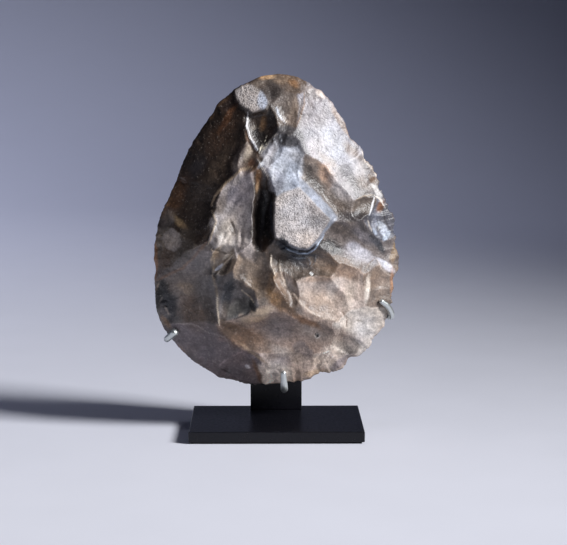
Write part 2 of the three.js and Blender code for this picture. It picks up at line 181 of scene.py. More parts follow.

# Stains, patina, spots of wear, painted shade and painted highlights, painted over the scars in this
# order: x, z, turn, half length, half width, softness of the border, strength, colour
STAINS = {
    "tip_dark": (-1.4, 94.6, 20, 4, 2, 0.8, 0.8, (58, 50, 46)),
    "tip_top": (2.4, 98, 0, 3.2, 1.1, 0.8, 0.7, (112, 92, 74)),
    "tip_blotch": (5.6, 96.8, -25, 2.1, 1.1, 0.8, 0.8, (128, 94, 64)),
    "tip_pale": (-2.9, 99.2, 5, 2.6, 0.8, 0.6, 0.85, (186, 150, 112)),
    "tip_grey": (-5.6, 97, 25, 2.4, 1, 0.8, 0.6, (116, 106, 98)),
    "tip_ripple": (10.4, 94.2, -40, 3.4, 1.7, 0.7, 0.75, (122, 113, 109)),
    "tip_shade": (10.4, 91.8, -62, 3, 0.9, 0.8, 0.8, (92, 80, 74)),
    "tip_cream": (13.8, 93.9, -40, 1.6, 0.8, 0.6, 0.9, (222, 210, 202)),
    "under_tip_shade": (7.6, 87.6, 84, 4.6, 0.8, 0.8, 0.6, (72, 60, 52)),
    "under_tip_pale": (5.2, 89.4, 78, 3.6, 0.7, 0.9, 0.5, (138, 122, 110)),
    "flank_blue": (-25.6, 70.4, 55, 5, 2.2, 0.9, 0.5, (32, 32, 37)),
    "flank_brown_1": (-17, 81, 60, 7, 3, 0.9, 0.6, (64, 46, 34)),
    "flank_brown_2": (-32, 61, 62, 8, 2.4, 0.8, 0.7, (80, 56, 38)),
    "flank_brown_3": (-18.6, 70.4, 58, 8, 1.8, 0.9, 0.6, (78, 64, 52)),
    "flank_grey": (-23, 62, 60, 7, 3, 0.9, 0.5, (74, 65, 58)),
    "flank_edge": (-15.6, 86, 56, 5, 1, 0.8, 0.7, (88, 58, 38)),
    "oval_ochre": (-31, 53.6, -45, 3.6, 1, 0.8, 0.7, (132, 110, 82)),
    "oval_dark": (-28.6, 46.8, 75, 6, 2.8, 0.8, 0.7, (68, 60, 52)),
    "oval_brown": (-35.4, 41.6, 62, 5.4, 2.4, 0.8, 0.75, (70, 52, 40)),
    "oval_spot": (-33, 47.4, 90, 3.6, 2.9, 0.22, 0.8, (146, 137, 132)),
    "oval_spot_core": (-32.6, 47, 90, 2, 1.3, 0.8, 0.5, (150, 142, 136)),
    "oval_top": (-34.6, 54.4, 70, 3, 2.6, 0.7, 0.6, (96, 90, 88)),
    "left_rim": (-38.8, 41, 88, 6, 0.9, 0.6, 0.85, (134, 92, 62)),
    "lower_left_pale": (-24.6, 40.6, 60, 6.4, 3, 0.8, 0.6, (126, 116, 112)),
    "lower_left_brown": (-26.6, 24.6, -65, 6, 4, 0.9, 0.75, (92, 72, 57)),
    "lower_left_spot": (-28.8, 32, -20, 2.6, 1.6, 0.9, 0.7, (128, 114, 100)),
    "lower_left_dark": (-21.4, 24.4, -82, 6, 1.7, 0.9, 0.7, (58, 48, 42)),
    "flank_black": (-35, 28.4, -70, 6.4, 2.5, 0.8, 0.93, (28, 28, 32)),
    "chips_black": (-37.6, 30, 80, 5, 1.6, 0.5, 0.9, (24, 22, 22)),
    "chip_light_1": (-37.8, 33, 70, 1.4, 0.3, 0.6, 0.8, (120, 108, 98)),
    "chip_light_2": (-36.9, 28.2, 62, 1.5, 0.28, 0.6, 0.8, (104, 96, 90)),
    "chip_light_3": (-35, 24.8, -60, 1.7, 0.28, 0.6, 0.8, (150, 134, 120)),
    "chips_pale": (-35.2, 21, -50, 2.6, 0.8, 0.6, 0.8, (140, 112, 88)),
    "heel_rim": (-27, 6.6, -32, 13, 1.1, 0.6, 0.75, (126, 96, 76)),
    "heel_orange": (-11, 16.6, -22, 8, 3.6, 0.8, 0.85, (106, 80, 58)),
    "heel_umber": (-15.4, 20.4, -30, 3.4, 1.3, 0.8, 0.75, (76, 58, 42)),
    "heel_ridge": (-6.8, 10.6, -38, 6.6, 0.5, 0.7, 0.8, (160, 138, 116)),
    "middle_lavender": (0.6, 19.2, -8, 7, 3.2, 0.9, 0.7, (124, 111, 105)),
    "middle_brown": (-4, 12.6, -15, 6, 2.4, 0.9, 0.6, (116, 97, 83)),
    "middle_right_pale": (14, 18.2, -18, 7, 3, 0.8, 0.7, (166, 148, 134)),
    "middle_orange": (9, 22, -28, 6.4, 1.2, 0.8, 0.75, (130, 94, 64)),
    "ochre_blotch": (0, 28.8, -50, 4.4, 2.4, 0.8, 0.85, (126, 92, 56)),
    "ochre_dark": (3.4, 27.6, -50, 4.6, 1.9, 0.8, 0.9, (78, 58, 42)),
    "fan_pale": (5, 32.6, -60, 3.4, 1.3, 0.8, 0.8, (200, 183, 170)),
    "fan_left": (0.4, 33, -65, 3.2, 1, 0.8, 0.7, (100, 81, 67)),
    "heel_cream": (0.2, 5.2, -12, 5, 3.4, 0.6, 0.85, (208, 194, 184)),
    # Cream lightened past its own colour: painted light against the shade on this spot
    "heel_cream_left": (-2.6, 3.2, 80, 2.8, 1.9, 0.5, 0.95, (255, 240, 226)),
    "heel_join_brown": (-6.2, 5, -70, 4.4, 0.8, 0.7, 0.7, (122, 94, 74)),
    "heel_cream_join": (-4.6, 5.6, -62, 2.2, 0.9, 0.6, 0.85, (222, 208, 198)),
    "heel_top_pale": (4, 10.6, -22, 6, 1.6, 0.8, 0.7, (176, 160, 148)),
    "heel_grey": (8.4, 12.2, -35, 3.8, 2, 0.45, 0.8, (104, 95, 94)),
    "heel_grey_2": (3, 8.6, -10, 2.6, 1.3, 0.8, 0.6, (138, 126, 124)),
    "crescent": (-6.6, 23.8, 22, 5.4, 2.1, 0.6, 0.85, (182, 160, 136)),
    "oval_grey": (-12, 25.8, 25, 4.6, 2.5, 0.35, 0.9, (114, 110, 104)),
    "oval_blue": (-15.4, 30.8, 74, 5, 1.9, 0.6, 0.95, (38, 38, 42)),
    "oval_edge": (-7.6, 26.8, -62, 2.2, 0.9, 0.5, 0.9, (38, 36, 36)),
    "oval_foot": (-16.6, 24.6, 80, 3, 1.2, 0.8, 0.7, (70, 60, 54)),
    "splinter_brown": (-18.6, 43.4, 60, 2.6, 1.3, 0.6, 0.8, (110, 92, 74)),
    "splinter_white": (-18.3, 38.9, 38, 1.6, 0.6, 0.5, 0.95, (222, 222, 228)),
    "splinter_white_2": (-15.8, 42.4, 40, 1.8, 0.5, 0.6, 0.9, (196, 184, 168)),
    "splinter_dark": (-15.4, 39.2, 66, 3, 0.6, 0.6, 0.9, (52, 44, 38)),
    "splinter_dark_2": (-19.6, 36, 70, 1.6, 0.7, 0.7, 0.9, (58, 48, 40)),
    "plateau_pale": (-15.6, 49.2, 74, 5.4, 2.6, 0.8, 0.8, (180, 170, 160)),
    "plateau_patch": (-9.8, 45, -55, 4.6, 2.4, 0.4, 0.9, (176, 164, 158)),
    "plateau_dark": (-14, 51.4, -78, 2.8, 0.7, 0.7, 0.9, (70, 60, 54)),
    "plateau_dark_2": (-11.8, 43.8, -60, 2, 0.6, 0.6, 0.4, (40, 34, 30)),
    "plateau_grey": (-11.4, 64, 76, 6, 3.6, 0.7, 0.75, (128, 120, 124)),
    "plateau_top_pale": (-12.4, 67.2, 60, 2.6, 1, 0.9, 0.6, (182, 170, 162)),
    "plateau_right": (-10.6, 50, 84, 3.4, 1, 0.9, 0.6, (172, 162, 156)),
    "plateau_blue": (-14.6, 62, 60, 3.4, 1.4, 0.8, 0.7, (82, 80, 88)),
    "plateau_mottle": (-17.6, 58.6, 72, 3.4, 1.6, 0.8, 0.7, (92, 82, 74)),
    "plateau_shade": (-20.4, 53, 84, 3.4, 0.9, 0.8, 0.85, (62, 53, 50)),
    "plateau_left_grey": (-18.4, 50, 80, 3.6, 1.2, 0.8, 0.8, (106, 99, 95)),
    "plateau_bay": (-6.2, 59.4, 70, 2, 1, 0.6, 0.85, (40, 34, 34)),
    "channel_brown": (-5.2, 67.4, -68, 4.6, 1.6, 0.7, 0.85, (84, 60, 40)),
    "channel_tan": (-6, 64.4, 80, 1.6, 0.5, 0.8, 0.7, (140, 116, 92)),
    # Painted shadow down the deep channel
    "channel_shadow": (-3.4, 56, 88, 11.6, 2.1, 0.6, 0.85, (19, 17, 19)),
    "channel_end": (-3.4, 44.6, -80, 3.6, 1.8, 0.8, 0.8, (62, 48, 38)),
    "channel_toe": (-6.6, 42.4, 80, 2.2, 1.2, 0.8, 0.8, (58, 50, 46)),
    "foot_brown": (-7.4, 34.6, 10, 4.6, 3, 0.9, 0.6, (112, 97, 84)),
    "foot_grey": (-9.4, 40, -60, 3, 1.4, 0.9, 0.5, (96, 86, 78)),
    "foot_shadow": (-10.8, 36.4, 85, 4, 1.3, 0.8, 0.8, (66, 57, 52)),
    "foot_orange": (-1.6, 34, 80, 5, 1.2, 0.8, 0.6, (124, 98, 72)),
    "top_black": (-4.6, 79.4, 105, 4.6, 2, 0.7, 0.85, (20, 17, 16)),
    "top_brown": (-4, 85, 75, 2.6, 1.1, 0.8, 0.8, (96, 72, 50)),
    "top_spot": (-7.2, 83.2, 0, 0.9, 0.8, 0.7, 0.8, (112, 102, 92)),
    "wedge_pale": (-8.9, 75.2, 70, 2.2, 1.1, 0.7, 0.85, (186, 168, 148)),
    "wedge_orange": (-7.6, 72.2, 60, 1.3, 0.9, 0.8, 0.8, (140, 102, 78)),
    "wedge_grey": (-11.6, 72.8, 60, 4, 1.5, 0.8, 0.7, (126, 114, 106)),
    "wedge_shade": (-11.2, 75.4, 62, 3.6, 1, 0.8, 0.8, (58, 48, 44)),
    "neck_patina": (3.2, 71, 84, 6.6, 5, 0.3, 0.9, (170, 174, 184)),
    "neck_lower": (0.2, 66.4, 70, 3.6, 2.2, 0.5, 0.9, (148, 150, 160)),
    "neck_left_light": (-2.6, 75.8, 74, 2.6, 1.4, 0.8, 0.6, (160, 158, 164)),
    "neck_left_dark": (-3, 70.8, 60, 2, 1, 0.8, 0.7, (90, 84, 86)),
    "neck_foot_grey": (-2.4, 71.4, 74, 4, 1.5, 0.9, 0.8, (104, 101, 106)),
    "neck_dark": (4, 80.5, -8, 5.2, 3.1, 0.4, 0.95, (56, 54, 56)),
    "neck_dark_2": (2.4, 79.4, 70, 2.4, 0.5, 0.6, 0.7, (44, 42, 43)),
    "neck_side": (8.2, 77.2, -62, 4.2, 1.2, 0.8, 0.85, (74, 72, 76)),
    "upper_top": (13.6, 89, -50, 4.6, 2.6, 0.9, 0.6, (140, 136, 142)),
    # Partly bluish-white patina, partly a painted highlight at the scar's middle
    "upper_white": (16, 79.6, -58, 7.6, 4.6, 1.0, 0.9, (158, 156, 161)),
    "upper_highlight": (16.4, 79.8, -58, 4.6, 2.5, 1.0, 0.5, (188, 186, 189)),
    "upper_low": (16.6, 72.6, -40, 3.4, 1.2, 0.9, 0.6, (150, 138, 128)),
    "upper_rim": (20.8, 84.4, -56, 7, 0.9, 0.8, 0.75, (132, 114, 100)),
    "nib_brown": (23.7, 76, -50, 3.6, 1.6, 0.9, 0.8, (112, 98, 88)),
    # Painted shade along the left side of the hollow beside the crust
    "beside_shade": (11.4, 67, -57, 7, 1.7, 0.8, 0.92, (56, 50, 47)),
    "beside_brown": (19.4, 58.4, -44, 6.4, 2, 0.9, 0.8, (90, 79, 71)),
    "beside_peach": (16.2, 68.2, -56, 3.6, 1.8, 1.0, 0.9, (206, 172, 148)),
    "beside_pale": (20, 65, -58, 5, 2.3, 1.0, 0.9, (172, 163, 160)),
    "right_white": (25.6, 70.4, -62, 4.6, 2, 0.9, 0.85, (178, 175, 178)),
    "right_white_2": (22.8, 63.4, -58, 3.4, 1.5, 1.0, 0.7, (132, 128, 130)),
    "right_grey": (27.8, 65.6, -50, 3.6, 1.6, 0.9, 0.7, (120, 110, 104)),
    "right_notch": (30.6, 66.6, -50, 2, 1, 0.6, 0.9, (92, 72, 56)),
    "edge_pale": (31.8, 63.2, -60, 2.4, 0.9, 0.6, 0.9, (214, 208, 204)),
    "edge_brown": (33, 58.2, 70, 2.2, 1.2, 0.7, 0.9, (116, 78, 52)),
    "edge_glass": (31.4, 53.4, 75, 2.8, 1.3, 0.6, 0.7, (112, 114, 126)),
    "edge_patina": (33.8, 51.6, -50, 2.4, 0.9, 0.4, 0.9, (172, 178, 190)),
    "edge_patina_2": (35.2, 48.8, 60, 1.8, 0.8, 0.4, 0.85, (160, 168, 180)),
    "edge_patina_3": (31.4, 50.2, -60, 1.2, 0.5, 0.5, 0.8, (150, 158, 172)),
    "edge_patina_4": (33.9, 49.8, -50, 1.1, 0.6, 0.6, 0.7, (206, 212, 224)),
    "edge_dark": (31.8, 46.8, -48, 4.6, 1.3, 0.7, 0.9, (40, 41, 47)),
    "edge_ochre": (37.6, 43.6, 80, 3.2, 1, 0.7, 0.8, (128, 106, 80)),
    "band_dark": (22, 50.6, -20, 7, 2.2, 0.8, 0.85, (72, 62, 56)),
    # Painted shade in the hollows
    "hollow_shade": (24.6, 55, -8, 5.4, 1.7, 0.8, 0.88, (50, 45, 46)),
    "hollow_right_shade": (29.2, 61, -40, 2.2, 1.2, 0.8, 0.9, (80, 70, 64)),
    "beside_foot": (20, 54, -30, 3, 1.1, 0.9, 0.7, (62, 58, 62)),
    "band_grey": (27.6, 48.6, -40, 4, 1.6, 0.9, 0.6, (104, 98, 102)),
    "band_left": (16.8, 45.2, -18, 4.4, 2.5, 0.8, 0.92, (28, 26, 27)),
    "band_pale": (25.2, 43.4, -28, 4, 2.2, 0.9, 0.8, (146, 140, 145)),
    "band_dark_right": (27.4, 51.8, -40, 2.2, 1.1, 0.9, 0.8, (44, 40, 42)),
    # Partly pale patina, partly a painted highlight along the band
    "band_white": (27.2, 43, -26, 4.8, 1.8, 0.8, 0.9, (170, 167, 173)),
    "band_highlight_streak": (35, 39.2, -38, 3.6, 1.1, 0.5, 0.95, (184, 181, 186)),
    "band_brown": (20.6, 40.6, -22, 5.4, 1.2, 0.8, 0.85, (108, 90, 77)),
    "band_spot": (17.4, 44.8, 0, 0.7, 0.6, 0.5, 0.6, (104, 100, 94)),
    # Painted shade below the crust's foot
    "crust_shadow": (2.9, 45.4, -38, 4.4, 1.8, 0.7, 0.96, (22, 26, 35)),
    "crust_shadow_2": (8.6, 41.9, 0, 5, 1.5, 0.8, 0.92, (28, 32, 41)),
    "crust_blue": (8.6, 39.8, -14, 4.4, 1.5, 0.9, 0.75, (46, 47, 52)),
    "under_brown": (16.8, 38.8, -14, 6, 2.2, 0.9, 0.9, (118, 100, 86)),
    "under_pale": (13.2, 40.4, -20, 3.6, 0.9, 0.9, 0.6, (130, 114, 100)),
    "white_dot": (11.1, 36.8, -50, 0.6, 0.3, 0.4, 1.0, (236, 230, 222)),
    "lower_orange": (12.4, 35, 4, 5, 0.9, 0.9, 0.5, (176, 146, 122)),
    "lower_pale": (17.8, 31.8, 75, 3.4, 1.5, 1.0, 0.65, (206, 193, 183)),
    "lower_grey": (8.6, 26.8, -46, 5.6, 2, 0.9, 0.85, (108, 93, 83)),
    "lower_border": (12, 24.4, -28, 5, 1.5, 0.8, 0.8, (126, 110, 101)),
    "lower_left_border": (5.6, 27, -46, 2.4, 0.9, 0.8, 0.7, (98, 86, 78)),
    "lower_spot": (15.2, 26, 10, 1.6, 1, 0.8, 0.75, (130, 120, 116)),
    "rib_pale": (23.4, 30, 80, 4.4, 1.6, 0.9, 0.6, (186, 172, 160)),
    "rib_white": (29, 32, 84, 4, 0.7, 0.8, 0.85, (216, 208, 200)),
    "rib_brown": (22.6, 37.4, -16, 5.2, 2, 0.9, 0.75, (124, 102, 86)),
    "wedge_brown": (31.6, 36.6, 70, 3.4, 1.6, 0.9, 0.5, (122, 102, 86)),
    "wedge_peach": (34, 33, 78, 4.4, 1.9, 0.9, 0.7, (140, 121, 107)),
    "right_rim": (36.9, 34, 88, 4, 0.5, 0.8, 0.7, (168, 122, 90)),
    "heel_join": (26.4, 23.4, 20, 4.6, 1.6, 0.8, 0.6, (176, 166, 158)),
    "heel_pale": (28.8, 19.2, 45, 4.6, 3, 0.9, 0.8, (204, 194, 186)),
    "heel_shade": (26.6, 21.6, -10, 1.2, 0.3, 0.8, 0.7, (120, 108, 98)),
    "heel_facet": (24.4, 15.4, -40, 3, 1.7, 0.6, 0.8, (136, 125, 119)),
    "heel_facet_side": (27.4, 15.4, -50, 2, 1, 0.9, 0.6, (158, 146, 140)),
    "heel_facet_dark": (25.8, 14.2, -40, 1.8, 0.7, 0.8, 0.7, (98, 90, 84)),
    "heel_brown": (18.8, 18.4, -30, 4.4, 2, 0.8, 0.8, (122, 106, 96)),
    "heel_hatch": (15.6, 9.2, 45, 4.6, 2.6, 0.7, 0.85, (216, 198, 184)),
    "heel_lilac": (20.4, 7.8, 38, 3.8, 1.3, 0.5, 0.85, (134, 124, 126)),
    "heel_sand": (13, 4.6, 10, 4, 1, 0.8, 0.7, (196, 172, 146)),
    "heel_spot": (-9.2, 6.6, -30, 0.9, 0.5, 0.5, 0.9, (196, 190, 192)),
    "heel_step": (-16.4, 5, -25, 2, 0.25, 0.6, 0.9, (56, 47, 48)),
    "pit_ring": (13.2, 16.8, 0, 0.9, 0.8, 0.4, 0.8, (212, 204, 194)),
    "pit": (13.2, 16.8, 0, 0.5, 0.45, 0.2, 1.0, (14, 12, 11)),
}

# Thin ridges and cracks, bright edges that are painted highlights and dark lines that are painted shade,
# painted over the stains: their corners, half width, how deep they are cut (below zero is a ridge, in
# hundredths of the bulge), strength and colour
LINES = {
    # Painted highlight where light catches the top ridge
    "top_ridge": ([(-8.9, 87.8), (-9.4, 83.8), (-8.3, 80.2), (-5.6, 75.6)], 0.27, -5, 0.95,
                  (226, 224, 224)),
    "top_ridge_foot": ([(-9.9, 82), (-8.9, 79), (-5.8, 74.8)], 0.3, 3, 0.7, (88, 60, 40)),
    "neck_ridge": ([(-6.4, 73.6), (-4, 70), (-2, 66.6)], 0.2, -4, 0.8, (204, 194, 184)),
    "neck_shoulder": ([(-4.6, 75.2), (-2.2, 78.8), (0.2, 81.6)], 0.2, -3, 0.75, (170, 162, 152)),
    "tip_streak_1": ([(0, 89.8), (0.8, 87.2), (3, 84.4)], 0.3, -3, 0.95, (222, 221, 224)),
    "tip_streak_2": ([(1.2, 89.2), (2, 86.8), (3.8, 84)], 0.2, -2, 0.8, (176, 166, 156)),
    "tip_streak_3": ([(3.4, 92.4), (4, 89.6), (5.4, 86.4)], 0.18, -2, 0.6, (150, 136, 122)),
    "tip_streak_4": ([(5.4, 93), (6.2, 90.4), (6.4, 87)], 0.18, -2, 0.6, (156, 142, 130)),
    "tip_border": ([(8.6, 94.4), (8.9, 90.6), (6.6, 83.6)], 0.25, -2, 0.7, (118, 92, 70)),
    "neck_hackle_1": ([(1, 82), (1.6, 79.4), (1.6, 77.4)], 0.16, -2, 0.8, (186, 188, 192)),
    "neck_hackle_2": ([(-0.8, 79.6), (0.2, 77.6), (0.2, 75.4)], 0.2, -2, 0.8, (200, 202, 206)),
    "neck_hackle_3": ([(4.2, 82.2), (4.8, 80)], 0.14, -1.5, 0.6, (128, 126, 128)),
    "plateau_brow": ([(-7.4, 71), (-11.4, 69.8), (-15.4, 66.2), (-19.6, 61.6), (-20.5, 58.4)], 0.34,
                     -3, 0.8, (194, 170, 142)),
    "plateau_foot": ([(-20.4, 57), (-19, 53.6), (-20.6, 49.6), (-21.4, 46.6)], 0.25, -2, 0.7,
                     (178, 158, 132)),
    "plateau_crack": ([(-14.4, 53.4), (-13.4, 51), (-13, 48.6)], 0.24, 3, 0.7, (74, 64, 58)),
    "plateau_edge": ([(-12.4, 51.6), (-12, 49.4), (-12.6, 46.6)], 0.2, -2, 0.6, (198, 188, 176)),
    # Painted shade over the lit side of the channel's lip
    "channel_lip": ([(-6.6, 69.4), (-7, 64.6), (-6.6, 61), (-7.8, 57.6), (-7, 54), (-8, 50.4),
                     (-7, 46)], 0.4, 0, 0.7, (50, 42, 36)),
    "splinter_left": ([(-20.8, 45.4), (-19.8, 41.6), (-20.4, 36.8)], 0.16, -2, 0.75, (168, 148, 124)),
    "splinter_right": ([(-13.6, 43.4), (-16.2, 40.4), (-19.2, 36.2)], 0.22, -4, 0.85, (204, 190, 170)),
    "splinter_top": ([(-20.4, 45), (-17.4, 43.8), (-13.8, 43.2)], 0.2, 3, 0.7, (70, 58, 48)),
    # Painted highlight where light catches the long ridge
    "long_ridge": ([(-18.9, 30.4), (-19, 26), (-18.3, 20.4)], 0.24, -4, 0.92,
                   (216, 198, 174)),
    "long_ridge_top": ([(-20.6, 36.4), (-19.4, 32.6), (-18.8, 29.4)], 0.5, -3, 0.6, (150, 130, 108)),
    "lower_left_brow": ([(-38.4, 34.6), (-34, 36.6), (-29.8, 38.6), (-26.6, 42), (-21.8, 47.4)], 0.5,
                        -1, 0.4, (126, 92, 66)),
    "heel_brow": ([(-32.2, 20.6), (-26.8, 20.6), (-21.6, 17.8), (-16.4, 16.4), (-14.6, 12.4)], 0.2,
                  -1.5, 0.55, (156, 143, 138)),
    "oval_rim": ([(-11, 31.6), (-8.6, 29.6), (-7.2, 27.8)], 0.24, -2, 0.8, (192, 174, 150)),
    "oval_swirl": ([(-14.6, 28.4), (-12.4, 29), (-10.6, 27.8)], 0.2, 2, 0.6, (86, 80, 78)),
    "oval_swirl_2": ([(-14.6, 26.4), (-12.2, 27), (-10.8, 26)], 0.18, 1.5, 0.5, (92, 86, 84)),
    "oval_under": ([(-13.6, 22.4), (-11, 23.2), (-8.6, 25)], 0.25, 2, 0.8, (52, 46, 42)),
    "foot_edge": ([(-1.6, 43.2), (-1.9, 39.6), (-0.4, 36.6)], 0.28, -4, 0.85, (214, 200, 182)),
    "fan_1": ([(0.9, 41.2), (1.2, 37), (2.9, 32.6)], 0.3, -3, 0.45, (176, 162, 146)),
    "fan_2": ([(2.4, 38), (3, 35), (4.6, 31.6)], 0.18, -1.5, 0.6, (200, 188, 174)),
    "fan_3": ([(4.8, 37), (5.4, 34.6), (6.6, 33)], 0.25, 0, 0.4, (150, 128, 108)),
    "lower_right_edge": ([(4.6, 31.4), (6.9, 28.2), (10.8, 24.8), (15.4, 22.8), (20.4, 21.6)], 0.24,
                         -2, 0.5, (206, 188, 170)),
    # Painted shade along the crust's foot
    "crust_foot_shade": ([(0.4, 47.2), (2.1, 47.6), (3.6, 45.6), (6.8, 44), (10, 44.1), (12, 45.6)], 0.42, 4,
                   0.92, (21, 26, 36)),
    # Partly blue-white patina, partly a painted highlight along the crust's foot
    "crust_blue_rim": ([(2.8, 45.2), (4.8, 43.9), (7.2, 43.1), (9.8, 43.1), (12.2, 44.8), (15.2, 49.4)],
                       0.26, -2, 0.9, (146, 160, 180)),
    "navy_ripple_1": ([(4.4, 42.4), (7, 41.4), (9.4, 41.6)], 0.17, -2, 0.6, (104, 110, 120)),
    "navy_ripple_2": ([(9.6, 42.2), (10.8, 40.4), (10.9, 38.8)], 0.17, -2, 0.65, (122, 126, 132)),
    "navy_ripple_3": ([(6.6, 40.4), (8, 39.4), (8.4, 38)], 0.17, -2, 0.6, (98, 98, 102)),
    "navy_ripple_4": ([(12.4, 42.8), (12.6, 41), (11.9, 39.4)], 0.17, -2, 0.6, (132, 132, 134)),
    # Painted shade on the crust's steep left wall
    "crust_left_wall": ([(-1.4, 60.6), (-1.7, 55), (-1.2, 49.6)], 0.35, 0, 0.6, (52, 54, 66)),
    "hollow_brow": ([(25.2, 60.2), (27.6, 61.6), (30.8, 61.9)], 0.2, -2, 0.5, (176, 156, 134)),
    # Painted highlights where light catches the ridges by the right edge
    "edge_ridge_1": ([(31, 60.8), (30.4, 57.8), (29.6, 55.4)], 0.28, -4, 0.95, (232, 230, 230)),
    "edge_ridge_2": ([(30.9, 61.8), (33, 60.4), (34.7, 57.6)], 0.24, -3, 0.9, (226, 216, 206)),
    "edge_ridge_3": ([(29, 54.6), (29.4, 52), (30.8, 49.6)], 0.22, -3, 0.85, (170, 160, 150)),
    "edge_crack_1": ([(31.6, 56), (32.6, 52.8), (32.4, 50.4)], 0.22, 4, 0.8, (44, 44, 52)),
    "edge_crack_2": ([(34.2, 56), (34.6, 53), (36.4, 50.4)], 0.2, 3, 0.8, (56, 50, 50)),
    "edge_crack_3": ([(33, 50), (34.6, 49.8), (36, 47.8)], 0.2, 3, 0.7, (66, 68, 78)),
    "right_lip": ([(27, 76), (28.4, 72.4), (31.2, 68.6), (33, 66.2)], 0.22, -2, 0.7, (214, 206, 198)),
    "wedge_left": ([(31.6, 41.8), (29.4, 39.8), (28, 37), (27.6, 33)], 0.2, 2, 0.75, (112, 94, 80)),
    "wedge_right": ([(31.8, 41.6), (33.6, 38.2), (37, 35.6)], 0.2, -2, 0.8, (188, 172, 160)),
    "heel_crack": ([(20.8, 25), (22.6, 22.6), (22.4, 19.6)], 0.2, 3, 0.85, (96, 76, 62)),
    "heel_lip": ([(17.4, 13.4), (20.6, 11.8), (22.8, 10.8)], 0.34, -3, 0.9, (228, 216, 204)),
    "scratch_1": ([(12.6, 6.8), (15, 10.4), (16.4, 12.6)], 0.21, -1.5, 0.85, (236, 220, 206)),
    "scratch_2": ([(14, 6.4), (16.4, 10), (17.6, 12)], 0.21, -1.5, 0.85, (238, 224, 210)),
    "scratch_3": ([(15.6, 6.4), (17.6, 9.2), (18.8, 11.2)], 0.21, -1.5, 0.8, (234, 218, 204)),
    "scratch_4": ([(11.4, 7.6), (13, 10), (14.6, 12)], 0.21, -1.5, 0.7, (228, 210, 194)),
    "scratch_5": ([(14.2, 11.4), (17.8, 8.4)], 0.14, 1.5, 0.6, (140, 122, 110)),
}

# Painted glints: small bright points below the top ridge
SPARKLES = [(-3.1, 80.4), (-3.6, 79.2), (-3.3, 78.2), (-4.4, 77.4), (-4, 76.6), (-5.1, 76.3), (-4.9, 77)]
SPARKLE_SIZE = 0.34
SPARKLE_COLOUR = (232, 222, 200)

# Steps and splinters away from the edge: x, z, turn, half length, half width, and depth
# below the surface round it, in hundredths of the bulge. Below zero stands proud.
FRONT_DETAILS = [
    (-19.4, 42.2, 58, 4, 1.4, 5), (-17, 44.6, 66, 4, 1.2, 4), (-20.6, 38.6, 48, 3, 1.4, 5),
    (-15.6, 41.4, 64, 4, 1.2, 4), (-17.4, 36.6, 78, 4, 1.2, 4), (-16.4, 29.6, 76, 6, 1.6, 4),
    (-15.6, 50.6, 78, 4, 1.3, -3), (-11.2, 48, 84, 4, 1, 3.5), (-17.6, 47.4, 60, 3, 1, 3),
    (-11, 42.6, -60, 3, 1.2, 3), (-9.8, 45, -50, 4.6, 2.6, -3), (-12.8, 60, 62, 4, 1.2, 2.5),
    (-6, 66.4, -70, 4, 1.6, 5), (-12.4, 26.6, 32, 4.8, 3, -3), (-9.4, 24.6, 40, 4, 1, 3),
    (-5.8, 23.6, 14, 7, 1.6, -3), (-6.8, 10.6, -38, 7, 0.9, -2), (27, 35, 84, 7, 0.9, 2.5),
    (26.6, 45.6, 62, 3, 0.8, 3), (33.2, 57.6, 66, 3.4, 1, 4), (30.2, 52.4, 80, 5, 1.2, 4),
    (33.4, 51.4, 75, 4, 0.9, -3), (20.4, 7.8, 38, 4.4, 1.4, 3), (-16.4, 5, -25, 2.6, 0.7, 4),
    (-14.8, 12, -40, 3, 0.9, 2), (-9, 6.6, -30, 1.2, 0.7, -3), (-36.8, 31, 75, 3, 1, 5),
    (-36, 27.6, 60, 3, 0.8, -4), (-35.2, 24.6, 62, 3.4, 0.9, 5), (-37.6, 33.6, 70, 2, 0.8, 5),
    (17.6, 68.4, -60, 5, 1.2, -2), (13.2, 16.8, 0, 0.7, 0.6, 12), (-8.6, 33.2, -45, 7, 0.8, -2.5),
    (2.6, 45.4, 30, 2.6, 1.6, 5), (24.6, 75.6, 50, 3.4, 1.1, 4), (30, 65.6, -50, 3, 1.2, 5),
    (12, 92.6, -62, 3.4, 0.9, 3), (13.8, 93.9, -40, 1.8, 0.9, -3), (8.4, 12.2, -35, 4, 2, 1.5),
    (28.4, 24.6, 20, 3, 0.8, -2.5), (30.6, 20.4, 60, 3, 0.9, 2.5), (27.4, 17, 70, 3, 0.8, -2),
]

# Strength and spacing of the ripples on a scar, and on those where they show otherwise
PLAIN_RIPPLES = (1, 2.3)
RIPPLES = {
    "under_tip": (2.5, 1.6), "tip_right": (2, 1.6), "under_crust": (1.2, 1.9), "heel_left": (3, 2.1),
    "heel_middle_left": (3, 2.1), "neck": (2.5, 1.4), "right_edge": (3, 1.5),
}

# Stretches of the edge with small chips: first and last angle in degrees, usual gap in
# degrees and usual size
FRONT_CHIP_SEED = 21
FRONT_CHIP_ARCS = [
    (-72, -28, 8, 1.8), (-24, 20, 7, 2.1), (20, 74, 6.5, 1.9), (96, 190, 9, 0.9),
    (198, 218, 2.6, 1.3), (224, 286, 8, 1.0),
]
BACK_CHIP_SEED = 22
BACK_CHIP_ARCS = [(0, 360, 6, 1.6)]

# In the rows above, a depth follows the place and the two half sizes, and a colour comes last
DEPTH = 5
COLOUR = -1

TINY = 1e-9
FAR = 99.0


def smooth_step(low, high, value):
    share = np.clip((value - low) / (high - low), 0, 1)
    return share * share * (3 - 2 * share)


NOISE_CELLS = 64
FIRST_NOISE_SEED = 11
LAYER_SHIFT_X = 7.3
LAYER_SHIFT_Z = 3.1


